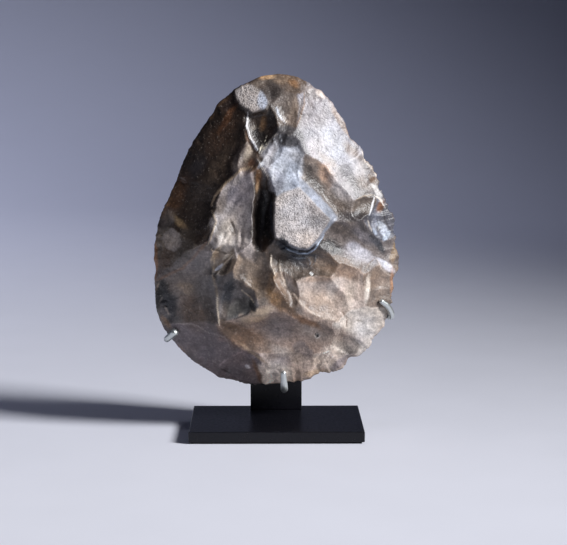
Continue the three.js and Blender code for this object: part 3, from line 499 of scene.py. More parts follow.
def make_noise(seed):
    """Returns a smooth noise from -1 to 1 over a plane, repeating after NOISE_CELLS cells."""
    lattice = np.random.default_rng(seed).uniform(-1, 1, (NOISE_CELLS, NOISE_CELLS))

    def noise(x, z):
        column = np.floor(x).astype(int)
        row = np.floor(z).astype(int)
        s = smooth_step(0, 1, x - column)
        t = smooth_step(0, 1, z - row)
        corners = [
            lattice[(row + up) % NOISE_CELLS, (column + right) % NOISE_CELLS]
            for up in (0, 1) for right in (0, 1)
        ]
        low = corners[0] + (corners[1] - corners[0]) * s
        high = corners[2] + (corners[3] - corners[2]) * s
        return low + (high - low) * t

    return noise


WARP_X, WARP_Z, LUMPS, GRAIN, MOTTLE, EDGE_CHIPS = [make_noise(FIRST_NOISE_SEED + k) for k in range(6)]


def layered(noise, x, z, cell, layers=3):
    """Adds finer and weaker layers of a noise, the coarsest with cells of this size."""
    total = np.zeros_like(x)
    for layer in range(layers):
        scale = 2 ** layer / cell
        total += noise(x * scale + LAYER_SHIFT_X * layer, z * scale + LAYER_SHIFT_Z * layer) / 2 ** layer
    return total


def drift(x, z, size, cell, layers):
    """How far each place is shifted to and fro, so that no border is a perfect curve."""
    return size * layered(WARP_X, x, z, cell, layers), size * layered(WARP_Z, x, z, cell, layers)


# The stone's form

DOME_FLATNESS = 2.2
DOME_POWER = 0.85
# The edge's swing to either side: strength, waves round the stone and start of each wave
EDGE_WAVES = ((0.6, 3, 1), (0.4, 7, 2))


def outline_radius(angle):
    values = np.array(OUTLINE_RADII)
    place = (angle / (2 * math.pi)) % 1 * len(values)
    step = np.floor(place).astype(int)
    t = place - step
    a, b, c, d = [values[(step + k) % len(values)] for k in (-1, 0, 1, 2)]
    return b + 0.5 * t * (c - a + t * (2 * a - 5 * b + 4 * c - d + t * (3 * (b - c) + d - a)))


def outline_spot(angle, share):
    """x and z of the spot at a share of the way from the centre to the edge."""
    radius = float(outline_radius(np.array(angle))) * share
    return radius * math.cos(angle), OUTLINE_CENTRE + radius * math.sin(angle)


def nip_depth(angle):
    depth = np.zeros_like(angle)
    for at, spread, size in EDGE_NIPS:
        away = (np.degrees(angle) - at + 180) % 360 - 180
        depth += size * np.exp(-((away / spread) ** 2))
    return depth


def edge_y(angle):
    swing = sum(strength * np.sin(waves * angle + start) for strength, waves, start in EDGE_WAVES)
    return EDGE_PLANE_Y + EDGE_WANDER * swing


def dome(reach):
    return np.maximum(0, 1 - reach ** DOME_FLATNESS) ** DOME_POWER


def place_in(x, z, hollow):
    """How far a place lies from a hollow's middle, in the hollow's own half sizes."""
    middle_x, middle_z, turn, along, across = hollow[:5]
    cos = math.cos(math.radians(turn))
    sin = math.sin(math.radians(turn))
    dx = x - middle_x
    dz = z - middle_z
    return (dx * cos + dz * sin) / along, (dz * cos - dx * sin) / across


def bowl_depth(x, z, hollow, rise):
    """The depth of a hollow at each place, less as it rises away from its middle."""
    s, q = place_in(x, z, hollow)
    return hollow[DEPTH] - rise * (s * s + q * q)


# A line keeps this share of its width at its tips, over this length, and fades from full
# to nothing between these two distances, in half widths
LINE_TIP_WIDTH = 0.45
LINE_TIP_LENGTH = 2
LINE_FADE = (0.3, 1.5)


def line_share(x, z, corners, half_width):
    """How near each place lies to a line through the corners: 1 on it, 0 beside it."""
    nearest = np.full_like(x, FAR)
    for (x1, z1), (x2, z2) in zip(corners, corners[1:]):
        dx = x2 - x1
        dz = z2 - z1
        along = np.clip(((x - x1) * dx + (z - z1) * dz) / (dx * dx + dz * dz), 0, 1)
        nearest = np.minimum(nearest, np.hypot(x - x1 - along * dx, z - z1 - along * dz))
    tip = np.minimum(*[np.hypot(x - end_x, z - end_z) for end_x, end_z in (corners[0], corners[-1])])
    thin = LINE_TIP_WIDTH + (1 - LINE_TIP_WIDTH) * smooth_step(0, LINE_TIP_LENGTH, tip)
    return 1 - smooth_step(*LINE_FADE, nearest / (half_width * thin))


def varied(k, middle, swing, beat, start=0):
    """A value that swings about its middle from one scar to the next."""
    return middle + swing * math.sin(beat * k + start)


def make_back_scars():
    scars = []
    for ring in BACK_RINGS:
        for k in range(ring["count"]):
            angle = (k + varied(k, *ring["shift"])) * 2 * math.pi / ring["count"]
            x, z = outline_spot(angle, varied(k, *ring["reach"]))
            turn = math.degrees(angle) + varied(k, *ring["lean"])
            along, across, depth = [varied(k, *ring[name]) for name in ("along", "across", "depth")]
            first_colour, colour_step = ring["colours"]
            colour = BACK_COLOURS[(first_colour + colour_step * k) % len(BACK_COLOURS)]
            scars.append((x, z, turn, along, across, depth, colour))
    for scar, colour in zip(BACK_MIDDLE_SCARS, BACK_COLOURS):
        scars.append(scar + (colour,))
    return scars


def make_back_stains():
    """Patches of patina, earth stain and shade, scattered over the back."""
    rng = np.random.default_rng(BACK_STAIN_SEED)
    stains = []
    for k in range(BACK_STAINS):
        angle = rng.uniform(0, 2 * math.pi)
        x, z = outline_spot(angle, rng.uniform(*BACK_STAIN_REACH) ** BACK_STAIN_SPREAD)
        along = rng.uniform(*BACK_STAIN_LENGTH)
        turn = rng.uniform(0, 180)
        across = along * rng.uniform(*BACK_STAIN_WIDTH)
        softness = rng.uniform(*BACK_STAIN_SOFTNESS)
        strength = rng.uniform(*BACK_STAIN_STRENGTH)
        colour = BACK_STAIN_COLOURS[k % len(BACK_STAIN_COLOURS)]
        stains.append((x, z, turn, along, across, softness, strength, colour))
    return stains


# What varies from one edge chip to the next. Size and gap are shares of the usual ones
CHIP_SIZE = (0.5, 1.5)
CHIP_REACH = (0.94, 1.0)
CHIP_LEAN = (-30, 30)
CHIP_LENGTH = (1.1, 1.9)
CHIP_DEPTH = (44, 64)
CHIP_GAP = (0.4, 1.6)


def make_edge_chips(seed, arcs):
    """Small scars nipped along stretches of the edge: they have no colour of their own."""
    rng = np.random.default_rng(seed)
    chips = []
    for angle, last, gap, size in arcs:
        while angle < last:
            across = size * rng.uniform(*CHIP_SIZE)
            x, z = outline_spot(math.radians(angle), rng.uniform(*CHIP_REACH))
            turn = angle + rng.uniform(*CHIP_LEAN)
            along = across * rng.uniform(*CHIP_LENGTH)
            chips.append((x, z, turn, along, across, rng.uniform(*CHIP_DEPTH)))
            angle += gap * rng.uniform(*CHIP_GAP)
    return chips


FRONT = {
    "sign": -1,
    "bulge": FRONT_BULGE,
    "scars": list(FRONT_SCARS.values()),
    "crusts": FRONT_CRUST,
    "details": FRONT_DETAILS,
    "lines": list(LINES.values()),
    "stains": list(STAINS.values()),
    "crust_stains": list(CRUST_STAINS.values()),
    "sparkles": SPARKLES,
    "chips": make_edge_chips(FRONT_CHIP_SEED, FRONT_CHIP_ARCS),
    "ripples": [RIPPLES.get(name, PLAIN_RIPPLES) for name in FRONT_SCARS],
}
BACK_SCARS = make_back_scars()
BACK = {
    "sign": 1,
    "bulge": BACK_BULGE,
    "scars": BACK_SCARS,
    "crusts": BACK_CRUST,
    "details": [],
    "lines": [],
    "stains": make_back_stains(),
    "crust_stains": [],
    "sparkles": [],
    "chips": make_edge_chips(BACK_CHIP_SEED, BACK_CHIP_ARCS),
    "ripples": [PLAIN_RIPPLES] * len(BACK_SCARS),
}

RIDGE_SOFTNESS = 1.0
CHIP_RISE = 20
DETAIL_POWER = 1.5
# Size, cell and layers of the drift of the scars' borders and of the crust's
SCAR_DRIFT = (0.75, 6, 3)
CRUST_DRIFT = (0.25, 2.5, 3)
LINE_DEPTH = 0.7
LINE_FOOT = 1.7


def carve(face, x, z):
    """Hundredths of the bulge taken off, the scar that shapes each place, the next one, how
    clearly the first leads, and how far each place lies outside the nearest crust, which is
    below 0 on it."""
    shift_x, shift_z = drift(x, z, *SCAR_DRIFT)
    scar_x = x + shift_x
    scar_z = z + shift_z
    depths = np.array([bowl_depth(scar_x, scar_z, scar, SCAR_RISE) for scar in face["scars"]])
    rival, owner = depths.argsort(axis=0)[-2:]
    ranked = np.sort(depths, axis=0)
    lead = ranked[-1] - ranked[-2]
    soft = ranked[-1] + RIDGE_SOFTNESS * np.log1p(np.exp(-lead / RIDGE_SOFTNESS))
    depth = np.maximum(soft, CRUST_DEPTH)
    for chip in face["chips"]:
        depth = np.maximum(depth, bowl_depth(scar_x, scar_z, chip, CHIP_RISE))
    for detail in face["details"]:
        s, q = place_in(scar_x, scar_z, detail)
        depth = depth + detail[DEPTH] * np.maximum(0, 1 - s * s - q * q) ** DETAIL_POWER
    for corners, half_width, cut, _, _ in face["lines"]:
        depth = depth + LINE_DEPTH * cut * line_share(x, z, corners, half_width * LINE_FOOT)
    outside = np.full_like(x, FAR)
    shift_x, shift_z = drift(x, z, *CRUST_DRIFT)
    for crust in face["crusts"]:
        beyond, fall = crust_wall(x + shift_x, z + shift_z, crust)
        outside = np.minimum(outside, beyond)
        depth = np.minimum(depth, CRUST_DEPTH + fall)
    return depth, owner, rival, lead, outside


CORNER_ROUNDING = 0.3
CORNER_LIMIT = 30
# The wall starts gently between these two distances from the crust's border
WALL_START = (-0.2, 1.2)


def crust_wall(x, z, corners):
    """How far each place lies outside a patch of crust, and how far the wall has fallen."""
    beyond = np.zeros_like(x)
    fall = np.zeros_like(x)
    for (x1, z1, steepness), (x2, z2, _) in zip(corners, corners[1:] + corners[:1]):
        length = math.hypot(x2 - x1, z2 - z1)
        away = ((x - x1) * (z2 - z1) - (z - z1) * (x2 - x1)) / length
        beyond += np.exp(np.clip(away, -CORNER_LIMIT, CORNER_LIMIT) / CORNER_ROUNDING)
        fall = np.maximum(fall, steepness * away)
    beyond = CORNER_ROUNDING * np.log(beyond)
    return beyond, fall * smooth_step(*WALL_START, beyond)


# The edge's bites in hundredths, coarse and fine: cells for each radian and strength. They
# are larger on the right than on the left
BITE_DEPTH = 0.9
BITE_CELLS = ((15, 1), (39, 0.5))
BITE_MEAN = 0.4
BITE_BALANCE = 0.35
BITE_SIDE = 0.2
# The nips and bites are felt only close to the edge
EDGE_POWER = 8


def outline_place(angle, reach):
    """x and z of places by their angle about the centre and their reach, 1 at the edge."""
    bites = sum(share * np.abs(EDGE_CHIPS(angle * cells, angle * 0)) for cells, share in BITE_CELLS)
    side = 1 - BITE_BALANCE + BITE_BALANCE * np.cos(angle + BITE_SIDE)
    chipping = BITE_DEPTH * (bites - BITE_MEAN) * side
    radius = outline_radius(angle) * reach - (nip_depth(angle) + chipping) * reach ** EDGE_POWER
    return radius * np.cos(angle), OUTLINE_CENTRE + radius * np.sin(angle)


RIPPLE_HEIGHT = 0.035 * MM
# A ripple's line wavers by this many hundredths, over cells of this size
RIPPLE_WAVER = (1.2, 5)
# Ripples grow away from ridges and crust over these distances, and come and go in patches
RIPPLE_RIDGE_FADE = 4
RIPPLE_CRUST_FADE = 2.5
RIPPLE_PATCHES = (-0.4, 0.8)
RIPPLE_PATCH_SIZE = 7
LUMP_HEIGHT = 0.2 * MM
LUMP_SIZE = 6
ROUGH_HEIGHT = 0.06 * MM
ROUGH_SIZE = 1.7
ROUGH_START = 31
GRAIN_HEIGHT = 0.08 * MM
GRAIN_SIZE = 0.9
GRAIN_BORDER = (-0.6, 0.4)


def fine_relief(face, x, z, owner, lead, outside):
    """Ripples that spread from each scar's strike point, low lumps, and crust grain."""
    relief = np.zeros_like(x)
    waver, waver_size = RIPPLE_WAVER
    for number, (scar_x, scar_z, *_) in enumerate(face["scars"]):
        strike_x, strike_z = outline_spot(math.atan2(scar_z - OUTLINE_CENTRE, scar_x), 1)
        away = np.hypot(x - strike_x, z - strike_z) + waver * LUMPS(x / waver_size, z / waver_size)
        strength, spacing = face["ripples"][number]
        wave = np.sin(2 * math.pi * away / spacing)
        relief += np.where(owner == number, strength * RIPPLE_HEIGHT * wave, 0)
    relief *= smooth_step(0, RIPPLE_RIDGE_FADE, lead) * smooth_step(0, RIPPLE_CRUST_FADE, outside)
    relief *= smooth_step(*RIPPLE_PATCHES, MOTTLE(x / RIPPLE_PATCH_SIZE, z / RIPPLE_PATCH_SIZE))
    relief += LUMP_HEIGHT * layered(LUMPS, x, z, LUMP_SIZE)
    relief += ROUGH_HEIGHT * layered(GRAIN, x + ROUGH_START, z, ROUGH_SIZE, 2)
    on_crust = 1 - smooth_step(*GRAIN_BORDER, outside)
    relief += on_crust * GRAIN_HEIGHT * layered(GRAIN, x, z, GRAIN_SIZE, 2)
    return relief


EYE_DISTANCE = 657 * MM
EYE_HEIGHT = 120 * MM
SEEN_BULGE = 0.66


def as_seen(face, x, z, reach):
    """Where a place shows in the plane of the edge. The front's marks are placed as they show
    to an eye level with the stone's tip, so what stands out towards it shows a little lower."""
    if face is BACK:
        return x, z
    nearer = SEEN_BULGE * face["bulge"] * dome(reach) / EYE_DISTANCE
    return x * (1 + nearer), z - nearer * (EYE_HEIGHT / HUNDREDTH - z)


EDGE_SWING_POWER = 3
RELIEF_POWER = 6


def face_points(face, angle, reach):
    """Points on one face, by angle about the centre and reach from 0 to the edge at 1."""
    true_x, true_z = outline_place(angle, reach)
    x, z = as_seen(face, true_x, true_z, reach)
    depth, owner, rival, lead, outside = carve(face, x, z)
    y = EDGE_PLANE_Y + (edge_y(angle) - EDGE_PLANE_Y) * reach ** EDGE_SWING_POWER
    inside = 1 - reach ** RELIEF_POWER
    height = face["bulge"] * dome(reach) * (1 - depth / 100)
    height = height + inside * fine_relief(face, x, z, owner, lead, outside)
    y = y + face["sign"] * height
    points = np.stack([true_x * HUNDREDTH, y, AXE_BOTTOM + true_z * HUNDREDTH], -1)
    return points, (x, z, owner, rival, lead, outside)


# The stone's colours

STONE_TONE = 1.14
# A stain this light in each of its channels counts as patina, which is duller
PATINA_FROM = 165
# A stain wider than this drifts in full
WARPED_WIDTH = 2
STAIN_BORDER = 0.6
# Size, cell and layers of the drift of the stains' borders, and where its noise starts
STAIN_DRIFT = (0.6, 2.2, 4)
STAIN_DRIFT_START = 5
LINE_DRIFT = 0.3
# The colours of two scars run together over this lead
SCAR_BLEND = 1.5
# Ridges get a painted highlight, in patches: mean share, spread, cell and start of the noise
HIGHLIGHT_PATCHES = (0.2, 0.9, 4, 17)
RIDGE_WIDTH = 1.1
RIDGE_HIGHLIGHT = 0.8
RIDGE_BORDER = (0.1, 1)
# The bluish wall below the crust: where it starts, its width, how much wider it is near the
# crust's top, between these heights, and how it fades
WALL_BORDER = (-0.3, 0.3)
WALL_WIDTH = 0.8
WALL_WIDER = 1.5
WALL_WIDER_FROM = (50, 60)
WALL_FADE = 0.8
WALL_STRENGTH = 0.9
# It shows on the right of the main patch only: it comes in between these two x, below this
# height and above a slanting line
WALL_LEFT = (2, 6)
WALL_TOP = 80
WALL_SLOPE = 0.9
WALL_FOOT = (46, 48)
CRUST_BORDER = (-0.5, 0.3)
SPARKLE_BORDER = (0.4, 1)
# The rim gets a painted orange-brown glow, as of light shining through the thin edge
RIM_FROM = 0.965
RIM_WAVER = 0.02
RIM_WAVER_SIZE = 5
RIM_STRENGTH = 0.3
RIM_GLOW_COLOUR = (150, 116, 86)
# Light and dark clouds: strength, cell, layers and start of the noise. The warm and cool
# ones have a tint for a strength
MOTTLES = (0.17, 5, 4, 0)
BLOTCHES = (0.12, 2.2, 3, 41)
WARMTH = (7, 3, 23)
WARMTH_TINT = (0.05, 0.0, -0.06)


def linear(colour):
    """An sRGB colour of 0 to 255 as shares of linear light."""
    share = np.array(colour) / 255
    return np.where(share <= 0.04045, share / 12.92, ((share + 0.055) / 1.055) ** 2.4)


def paint(colours, amount, colour):
    return colours + (linear(colour) - colours) * amount[:, None]


def stain_share(x, z, shift_x, shift_z, stain):
    """How much of a stain covers each place. A thin stain's border is shifted less."""
    *_, across, softness, strength, _ = stain
    shift = min(1, across / WARPED_WIDTH)
    s, q = place_in(x + shift * shift_x, z + shift * shift_z, stain)
    half_border = softness * STAIN_BORDER
    return strength * (1 - smooth_step(1 - half_border, 1 + half_border, np.hypot(s, q)))


def wall_share(x, z, outside):
    """How much of the bluish crust wall covers each place."""
    width = WALL_WIDTH + WALL_WIDER * smooth_step(*WALL_WIDER_FROM, z)
    wall = smooth_step(*WALL_BORDER, outside) * (1 - smooth_step(width, width + WALL_FADE, outside))
    facing = smooth_step(*WALL_LEFT, x) * (z < WALL_TOP) * smooth_step(*WALL_FOOT, WALL_SLOPE * x + z)
    return WALL_STRENGTH * wall * facing


def stone_colours(face, x, z, owner, rival, lead, outside, reach):
    """Colour, crust share and patina share for each point."""
    shift_x, shift_z = drift(x + STAIN_DRIFT_START, z, *STAIN_DRIFT)
    palette = np.array([linear(scar[COLOUR]) for scar in face["scars"]])
    share = (0.5 + 0.5 * smooth_step(0, SCAR_BLEND, lead))[:, None]
    colours = palette[owner] * share + palette[rival] * (1 - share)
    patina = np.zeros_like(x)
    for stain in face["stains"]:
        cover = stain_share(x, z, shift_x, shift_z, stain)
        colours = paint(colours, cover, stain[COLOUR])
        patina = np.maximum(patina * (1 - cover), cover * (min(stain[COLOUR]) > PATINA_FROM))
    highlight_mean, highlight_spread, highlight_size, highlight_start = HIGHLIGHT_PATCHES
    highlight_patches = np.clip(highlight_mean + highlight_spread * layered(MOTTLE, x + highlight_start, z, highlight_size), 0, 1)
    # Painted highlight along the ridges, in patches
    ridge = np.exp(-((lead / RIDGE_WIDTH) ** 2)) * smooth_step(*RIDGE_BORDER, outside) * highlight_patches
    colours = colours * (1 + RIDGE_HIGHLIGHT * ridge[:, None])
    colours = paint(colours, wall_share(x, z, outside), CRUST_WALL_COLOUR)
    crust = 1 - smooth_step(*CRUST_BORDER, outside)
    crust_colours = np.tile(linear(CRUST_COLOUR), (len(x), 1))
    for stain in face["crust_stains"]:
        cover = stain_share(x, z, shift_x, shift_z, stain)
        crust_colours = paint(crust_colours, cover, stain[COLOUR])
    colours = colours + (crust_colours - colours) * crust[:, None]
    for corners, half_width, _, strength, colour in face["lines"]:
        near = line_share(x + LINE_DRIFT * shift_x, z + LINE_DRIFT * shift_z, corners, half_width)
        colours = paint(colours, strength * near * (1 - crust), colour)
    # Painted glints below the top ridge
    for spark_x, spark_z in face["sparkles"]:
        away = np.hypot(x - spark_x, z - spark_z) / SPARKLE_SIZE
        colours = paint(colours, 1 - smooth_step(*SPARKLE_BORDER, away), SPARKLE_COLOUR)
    # Painted glow of light through the thin rim, in the same patches as the ridge highlight
    rim = smooth_step(RIM_FROM, 1.0, reach + RIM_WAVER * layered(WARP_Z, x, z, RIM_WAVER_SIZE))
    colours = paint(colours, RIM_STRENGTH * rim * highlight_patches, RIM_GLOW_COLOUR)
    tone = np.full_like(x, STONE_TONE)
    for noise, (strength, cell, layers, start) in ((MOTTLE, MOTTLES), (LUMPS, BLOTCHES)):
        tone += strength * layered(noise, x + start, z, cell, layers)
    cell, layers, start = WARMTH
    warmth = layered(WARP_Z, x, z + start, cell, layers)[:, None]
    colours = colours * tone[:, None] * (1 + warmth * np.array(WARMTH_TINT))
    return np.clip(colours, 0, 1), crust, patina


# The stone's mesh

def add_object(name, data):
    thing = bpy.data.objects.new(name, data)
    bpy.context.collection.objects.link(thing)
    return thing


def mesh_object(name, vertices, faces):
    """A smoothly shaded object from lists of vertices and faces."""
    mesh = bpy.data.meshes.new(name)
    mesh.from_pydata(vertices, [], faces)
    mesh.shade_smooth()
    return add_object(name, mesh)


def grid_places():
    """Angle and reach of each point of a square grid bent into a disc."""
    steps = np.linspace(-1, 1, FACE_DIVISIONS + 1)
    u, v = [side.ravel() for side in np.meshgrid(steps, steps)]
    across = np.abs(u) > np.abs(v)
    with np.errstate(divide="ignore", invalid="ignore"):
        flat = math.pi / 4 * v / u + np.where(u < 0, math.pi, 0)
        steep = math.pi / 2 - math.pi / 4 * u / v + np.where(v < 0, math.pi, 0)
    angle = np.nan_to_num(np.where(across, flat, steep))
    return angle, np.where(across, np.abs(u), np.abs(v))


def split_corners(quads, per_face):
    """Quads in the grid's four corners are split at the corner, so no sliver is left."""
    last = FACE_DIVISIONS - 1
    corner_quads = {0, last, last * FACE_DIVISIONS, last * FACE_DIVISIONS + last}
    result = []
    for number, quad in enumerate(quads.tolist()):
        k = number % per_face
        if k not in corner_quads:
            result.append(quad)
            continue
        a, b, c, d = quad if number < per_face else quad[::-1]
        forward = k in (0, last * FACE_DIVISIONS + last)
        pair = [(a, b, c), (a, c, d)] if forward else [(a, b, d), (b, c, d)]
        result.extend(tri if number < per_face else tri[::-1] for tri in pair)
    return result


def make_stone():
    """Both faces are the same grid. They share the points on its rim."""
    side = FACE_DIVISIONS + 1
    angle, reach = grid_places()
    places = []
    looks = []
    for face in (FRONT, BACK):
        points, surface = face_points(face, angle, reach)
        places.append(points)
        looks.append(stone_colours(face, *surface, reach))
    inner = np.flatnonzero(reach <= 1 - TINY)
    numbers = np.arange(side * side)
    back_numbers = numbers.copy()
    back_numbers[inner] = side * side + np.arange(len(inner))
    grid = numbers.reshape(side, side)
    corners = [grid[:-1, :-1], grid[:-1, 1:], grid[1:, 1:], grid[1:, :-1]]
    quads = np.stack([corner.ravel() for corner in corners], -1)
    all_quads = np.vstack([quads, back_numbers[quads][:, ::-1]])
    points = np.vstack([places[0], places[1][inner]]).tolist()
    stone = mesh_object("flint_hand_axe", points, split_corners(all_quads, len(quads)))
    colours, crust, patina = [np.concatenate([front, back[inner]]) for front, back in zip(*looks)]
    tint = stone.data.color_attributes.new("flint_tint", "FLOAT_COLOR", "POINT")
    tint.data.foreach_set("color", np.hstack([colours, np.ones((len(colours), 1))]).ravel())
    for name, values in (("crust", crust), ("patina", patina)):
        share = stone.data.attributes.new(name, "FLOAT", "POINT")
        share.data.foreach_set("value", values.astype(np.float32))
    return stone


# Materials

# Most of a noise texture's values lie between these
NOISE_RANGE = (0.3, 0.7)
# The flint's noises from coarse to fine, each with its scale and detail, and how much the
# first three of them lighten and darken the stone
FLINT_NOISES = ((240, 8), (620, 6), (1350, 3), (1750, 2))
FLINT_SPREADS = (0.2, 0.24, 0.22)
# Marks where a noise is high or low: two of its values, the mark's strength at each of them,
# and its colour. The crust has dark pits and chalky grains
LIGHT_FLECKS = (0.62, 0.74, 0.0, 0.35)
LIGHT_FLECK_COLOUR = (0.42, 0.38, 0.33, 1)
CRUST_MARKS = (
    ((0.34, 0.47, 0.65, 0.0), (0.09, 0.08, 0.075, 1)),
    ((0.56, 0.68, 0.0, 0.38), (0.7, 0.68, 0.67, 1)),
)
FLINT_ROUGHNESS = (0.34, 0.5)
CRUST_DULLER = 0.4
PATINA_DULLER = 0.12
CRUST_PITS = 2.2
SURFACE_CLUSTERS = 1.5


class Surface:
    """One material's nodes, with a short call for each kind of node that repeats."""

    def __init__(self, name):
        self.material = bpy.data.materials.new(name)
        self.material.use_nodes = True
        self.tree = self.material.node_tree
        self.shader = self.tree.nodes["Principled BSDF"]

    def feed(self, socket, value):
        """Sets a socket to a plain value, or links another node's output to it."""
        if isinstance(value, (int, float, tuple)):
            socket.default_value = value
        else:
            self.tree.links.new(value, socket)

    def add(self, kind, values):
        """Adds a node and feeds its inputs, which are given by name or number."""
        node = self.tree.nodes.new(kind)
        for key, value in values.items():
            self.feed(node.inputs[key], value)
        return node

    def noise(self, scale, detail):
        place = self.tree.nodes.new("ShaderNodeTexCoord").outputs["Object"]
        node = self.add("ShaderNodeTexNoise", {"Vector": place, "Scale": scale, "Detail": detail})
        return node.outputs["Fac"]

    def attribute(self, name):
        node = self.tree.nodes.new("ShaderNodeAttribute")
        node.attribute_name = name
        return node.outputs["Fac"]

    def ranged(self, value, low, high, to_low, to_high):
        values = {"Value": value, "From Min": low, "From Max": high, "To Min": to_low, "To Max": to_high}
        return self.add("ShaderNodeMapRange", values).outputs["Result"]

    def math(self, operation, first, second):
        node = self.add("ShaderNodeMath", {0: first, 1: second})
        node.operation = operation
        return node.outputs["Value"]

    def mix(self, blend, factor, first, second):
        node = self.tree.nodes.new("ShaderNodeMix")
        node.data_type = "RGBA"
        node.blend_type = blend
        for key, value in ((0, factor), (6, first), (7, second)):
            self.feed(node.inputs[key], value)
        return node.outputs[2]

    def bump(self, height, strength, distance):
        node = self.add("ShaderNodeBump", {"Height": height, "Strength": strength, "Distance": distance})
        self.feed(self.shader.inputs["Normal"], node.outputs["Normal"])


def flint_material():
    flint = Surface("flaked_flint")
    tint = flint.tree.nodes.new("ShaderNodeVertexColor")
    tint.layer_name = "flint_tint"
    crust = flint.attribute("crust")
    patina = flint.attribute("patina")
    cloud, cluster, fleck, speck = [flint.noise(*noise) for noise in FLINT_NOISES]
    shades = [
        flint.ranged(noise, *NOISE_RANGE, 1 - spread, 1 + spread)
        for noise, spread in zip((cloud, cluster, fleck), FLINT_SPREADS)
    ]
    shade = flint.math("MULTIPLY", flint.math("MULTIPLY", shades[0], shades[1]), shades[2])
    colour = flint.mix("MULTIPLY", 1.0, tint.outputs["Color"], shade)
    colour = flint.mix("MIX", flint.ranged(fleck, *LIGHT_FLECKS), colour, LIGHT_FLECK_COLOUR)
    for mark, mark_colour in CRUST_MARKS:
        amount = flint.math("MULTIPLY", flint.ranged(speck, *mark), crust)
        colour = flint.mix("MIX", amount, colour, mark_colour)
    flint.feed(flint.shader.inputs["Base Color"], colour)
    rough = flint.ranged(cluster, *NOISE_RANGE, *FLINT_ROUGHNESS)
    rough = flint.math("ADD", rough, flint.math("MULTIPLY", crust, CRUST_DULLER))
    rough = flint.math("ADD", rough, flint.math("MULTIPLY", patina, PATINA_DULLER))
    flint.feed(flint.shader.inputs["Roughness"], rough)
    pits = flint.math("MULTIPLY", flint.math("MULTIPLY", speck, crust), CRUST_PITS)
    clusters = flint.math("MULTIPLY", cluster, SURFACE_CLUSTERS)
    height = flint.math("ADD", clusters, flint.math("ADD", pits, fleck))
    flint.bump(height, strength=0.45, distance=0.0004)
    return flint.material


ROUGHNESS_SPREAD = 0.06
PLAIN_DETAIL = 5


def plain_material(name, colour, spread, roughness, metallic, scale, bump, gloss=0.5):
    """Paint, metal or a floor: fine noise in its colour, roughness and surface."""
    surface = Surface(name)
    noise = surface.noise(scale, PLAIN_DETAIL)
    low = tuple(c * (1 - spread) for c in colour) + (1,)
    high = tuple(min(1, c * (1 + spread)) for c in colour) + (1,)
    rough = (roughness - ROUGHNESS_SPREAD, roughness + ROUGHNESS_SPREAD)
    inputs = surface.shader.inputs
    surface.feed(inputs["Base Color"], surface.mix("MIX", noise, low, high))
    surface.feed(inputs["Roughness"], surface.ranged(noise, *NOISE_RANGE, *rough))
    inputs["Metallic"].default_value = metallic
    inputs["Specular IOR Level"].default_value = gloss
    surface.bump(noise, strength=bump, distance=0.0001)
    return surface.material


# The stand

def finish_piece(piece, node, slot, material):
    piece.data.materials.append(material)
    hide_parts(node)
    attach(piece, "root")


def bevelled_box(name, node, bevel):
    """A box of a node's own size whose edges are rounded over."""
    low, high = [np.array(corner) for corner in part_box(node)]
    mesh = bpy.data.meshes.new(name)
    shape = bmesh.new()
    bmesh.ops.create_cube(shape, size=1)
    for vertex in shape.verts:
        vertex.co = tuple((low + high) / 2 + np.array(vertex.co) * (high - low))
    bmesh.ops.bevel(shape, geom=shape.edges[:], offset=bevel, segments=4, affect="EDGES", profile=0.5)
    shape.to_mesh(mesh)
    shape.free()
    mesh.shade_smooth()
    piece = add_object(name, mesh)
    normals = piece.modifiers.new("flat_sides", "WEIGHTED_NORMAL")
    normals.keep_sharp = True
    return piece


STEPS_PER_SPAN = 14


def smooth_path(points):
    """A centripetal curve through the points."""
    ends = [2 * points[0] - points[1]] + points + [2 * points[-1] - points[-2]]
    path = []
    for a, b, c, d in zip(ends, ends[1:], ends[2:], ends[3:]):
        gaps = [max(TINY, np.linalg.norm(q - p) ** 0.5) for p, q in ((a, b), (b, c), (c, d))]
        start = (b - a) / gaps[0] - (c - a) / (gaps[0] + gaps[1]) + (c - b) / gaps[1]
        end = (c - b) / gaps[1] - (d - b) / (gaps[1] + gaps[2]) + (d - c) / gaps[2]
        start = start * gaps[1]
        end = end * gaps[1]
        for t in np.arange(STEPS_PER_SPAN) / STEPS_PER_SPAN:
            path.append(
                b + start * t + (3 * (c - b) - 2 * start - end) * t ** 2
                + (2 * (b - c) + start + end) * t ** 3
            )
    path.append(points[-1])
    return np.array(path)


ROD_SIDES = 20
WELD_LENGTH = 1.2 * MM
WELD_FLARE = 0.5 * MM
TAPER_LENGTH = 6 * MM
SWELL_BACK = 7 * MM
SWELL_LENGTH = 4 * MM
# A rod's round end: the power of its curve, its roundness and the least it narrows to
CAP_POWER = 4
CAP_ROUNDNESS = 0.3
CAP_LEAST = 0.05


def rod_radii(path, tip_scale, swell):
    """The radius at each point of a rod: flared at its weld, swollen before its taper and
    rounded at its tip."""
    steps = np.linalg.norm(np.diff(path, axis=0), axis=1)
    length = np.concatenate([[0], np.cumsum(steps)])
    left = length[-1] - length
    radius = PRONG_RADIUS * (1 - (1 - tip_scale) * (1 - smooth_step(0, TAPER_LENGTH, left)))
    radius = radius + WELD_FLARE * (1 - smooth_step(0, WELD_LENGTH, length))
    radius = radius * (1 + (swell - 1) * np.exp(-(((left - SWELL_BACK) / SWELL_LENGTH) ** 2)))
    cap = np.clip(1 - left / radius, 0, 1)
    return radius * np.maximum(CAP_LEAST, 1 - cap ** CAP_POWER) ** CAP_ROUNDNESS


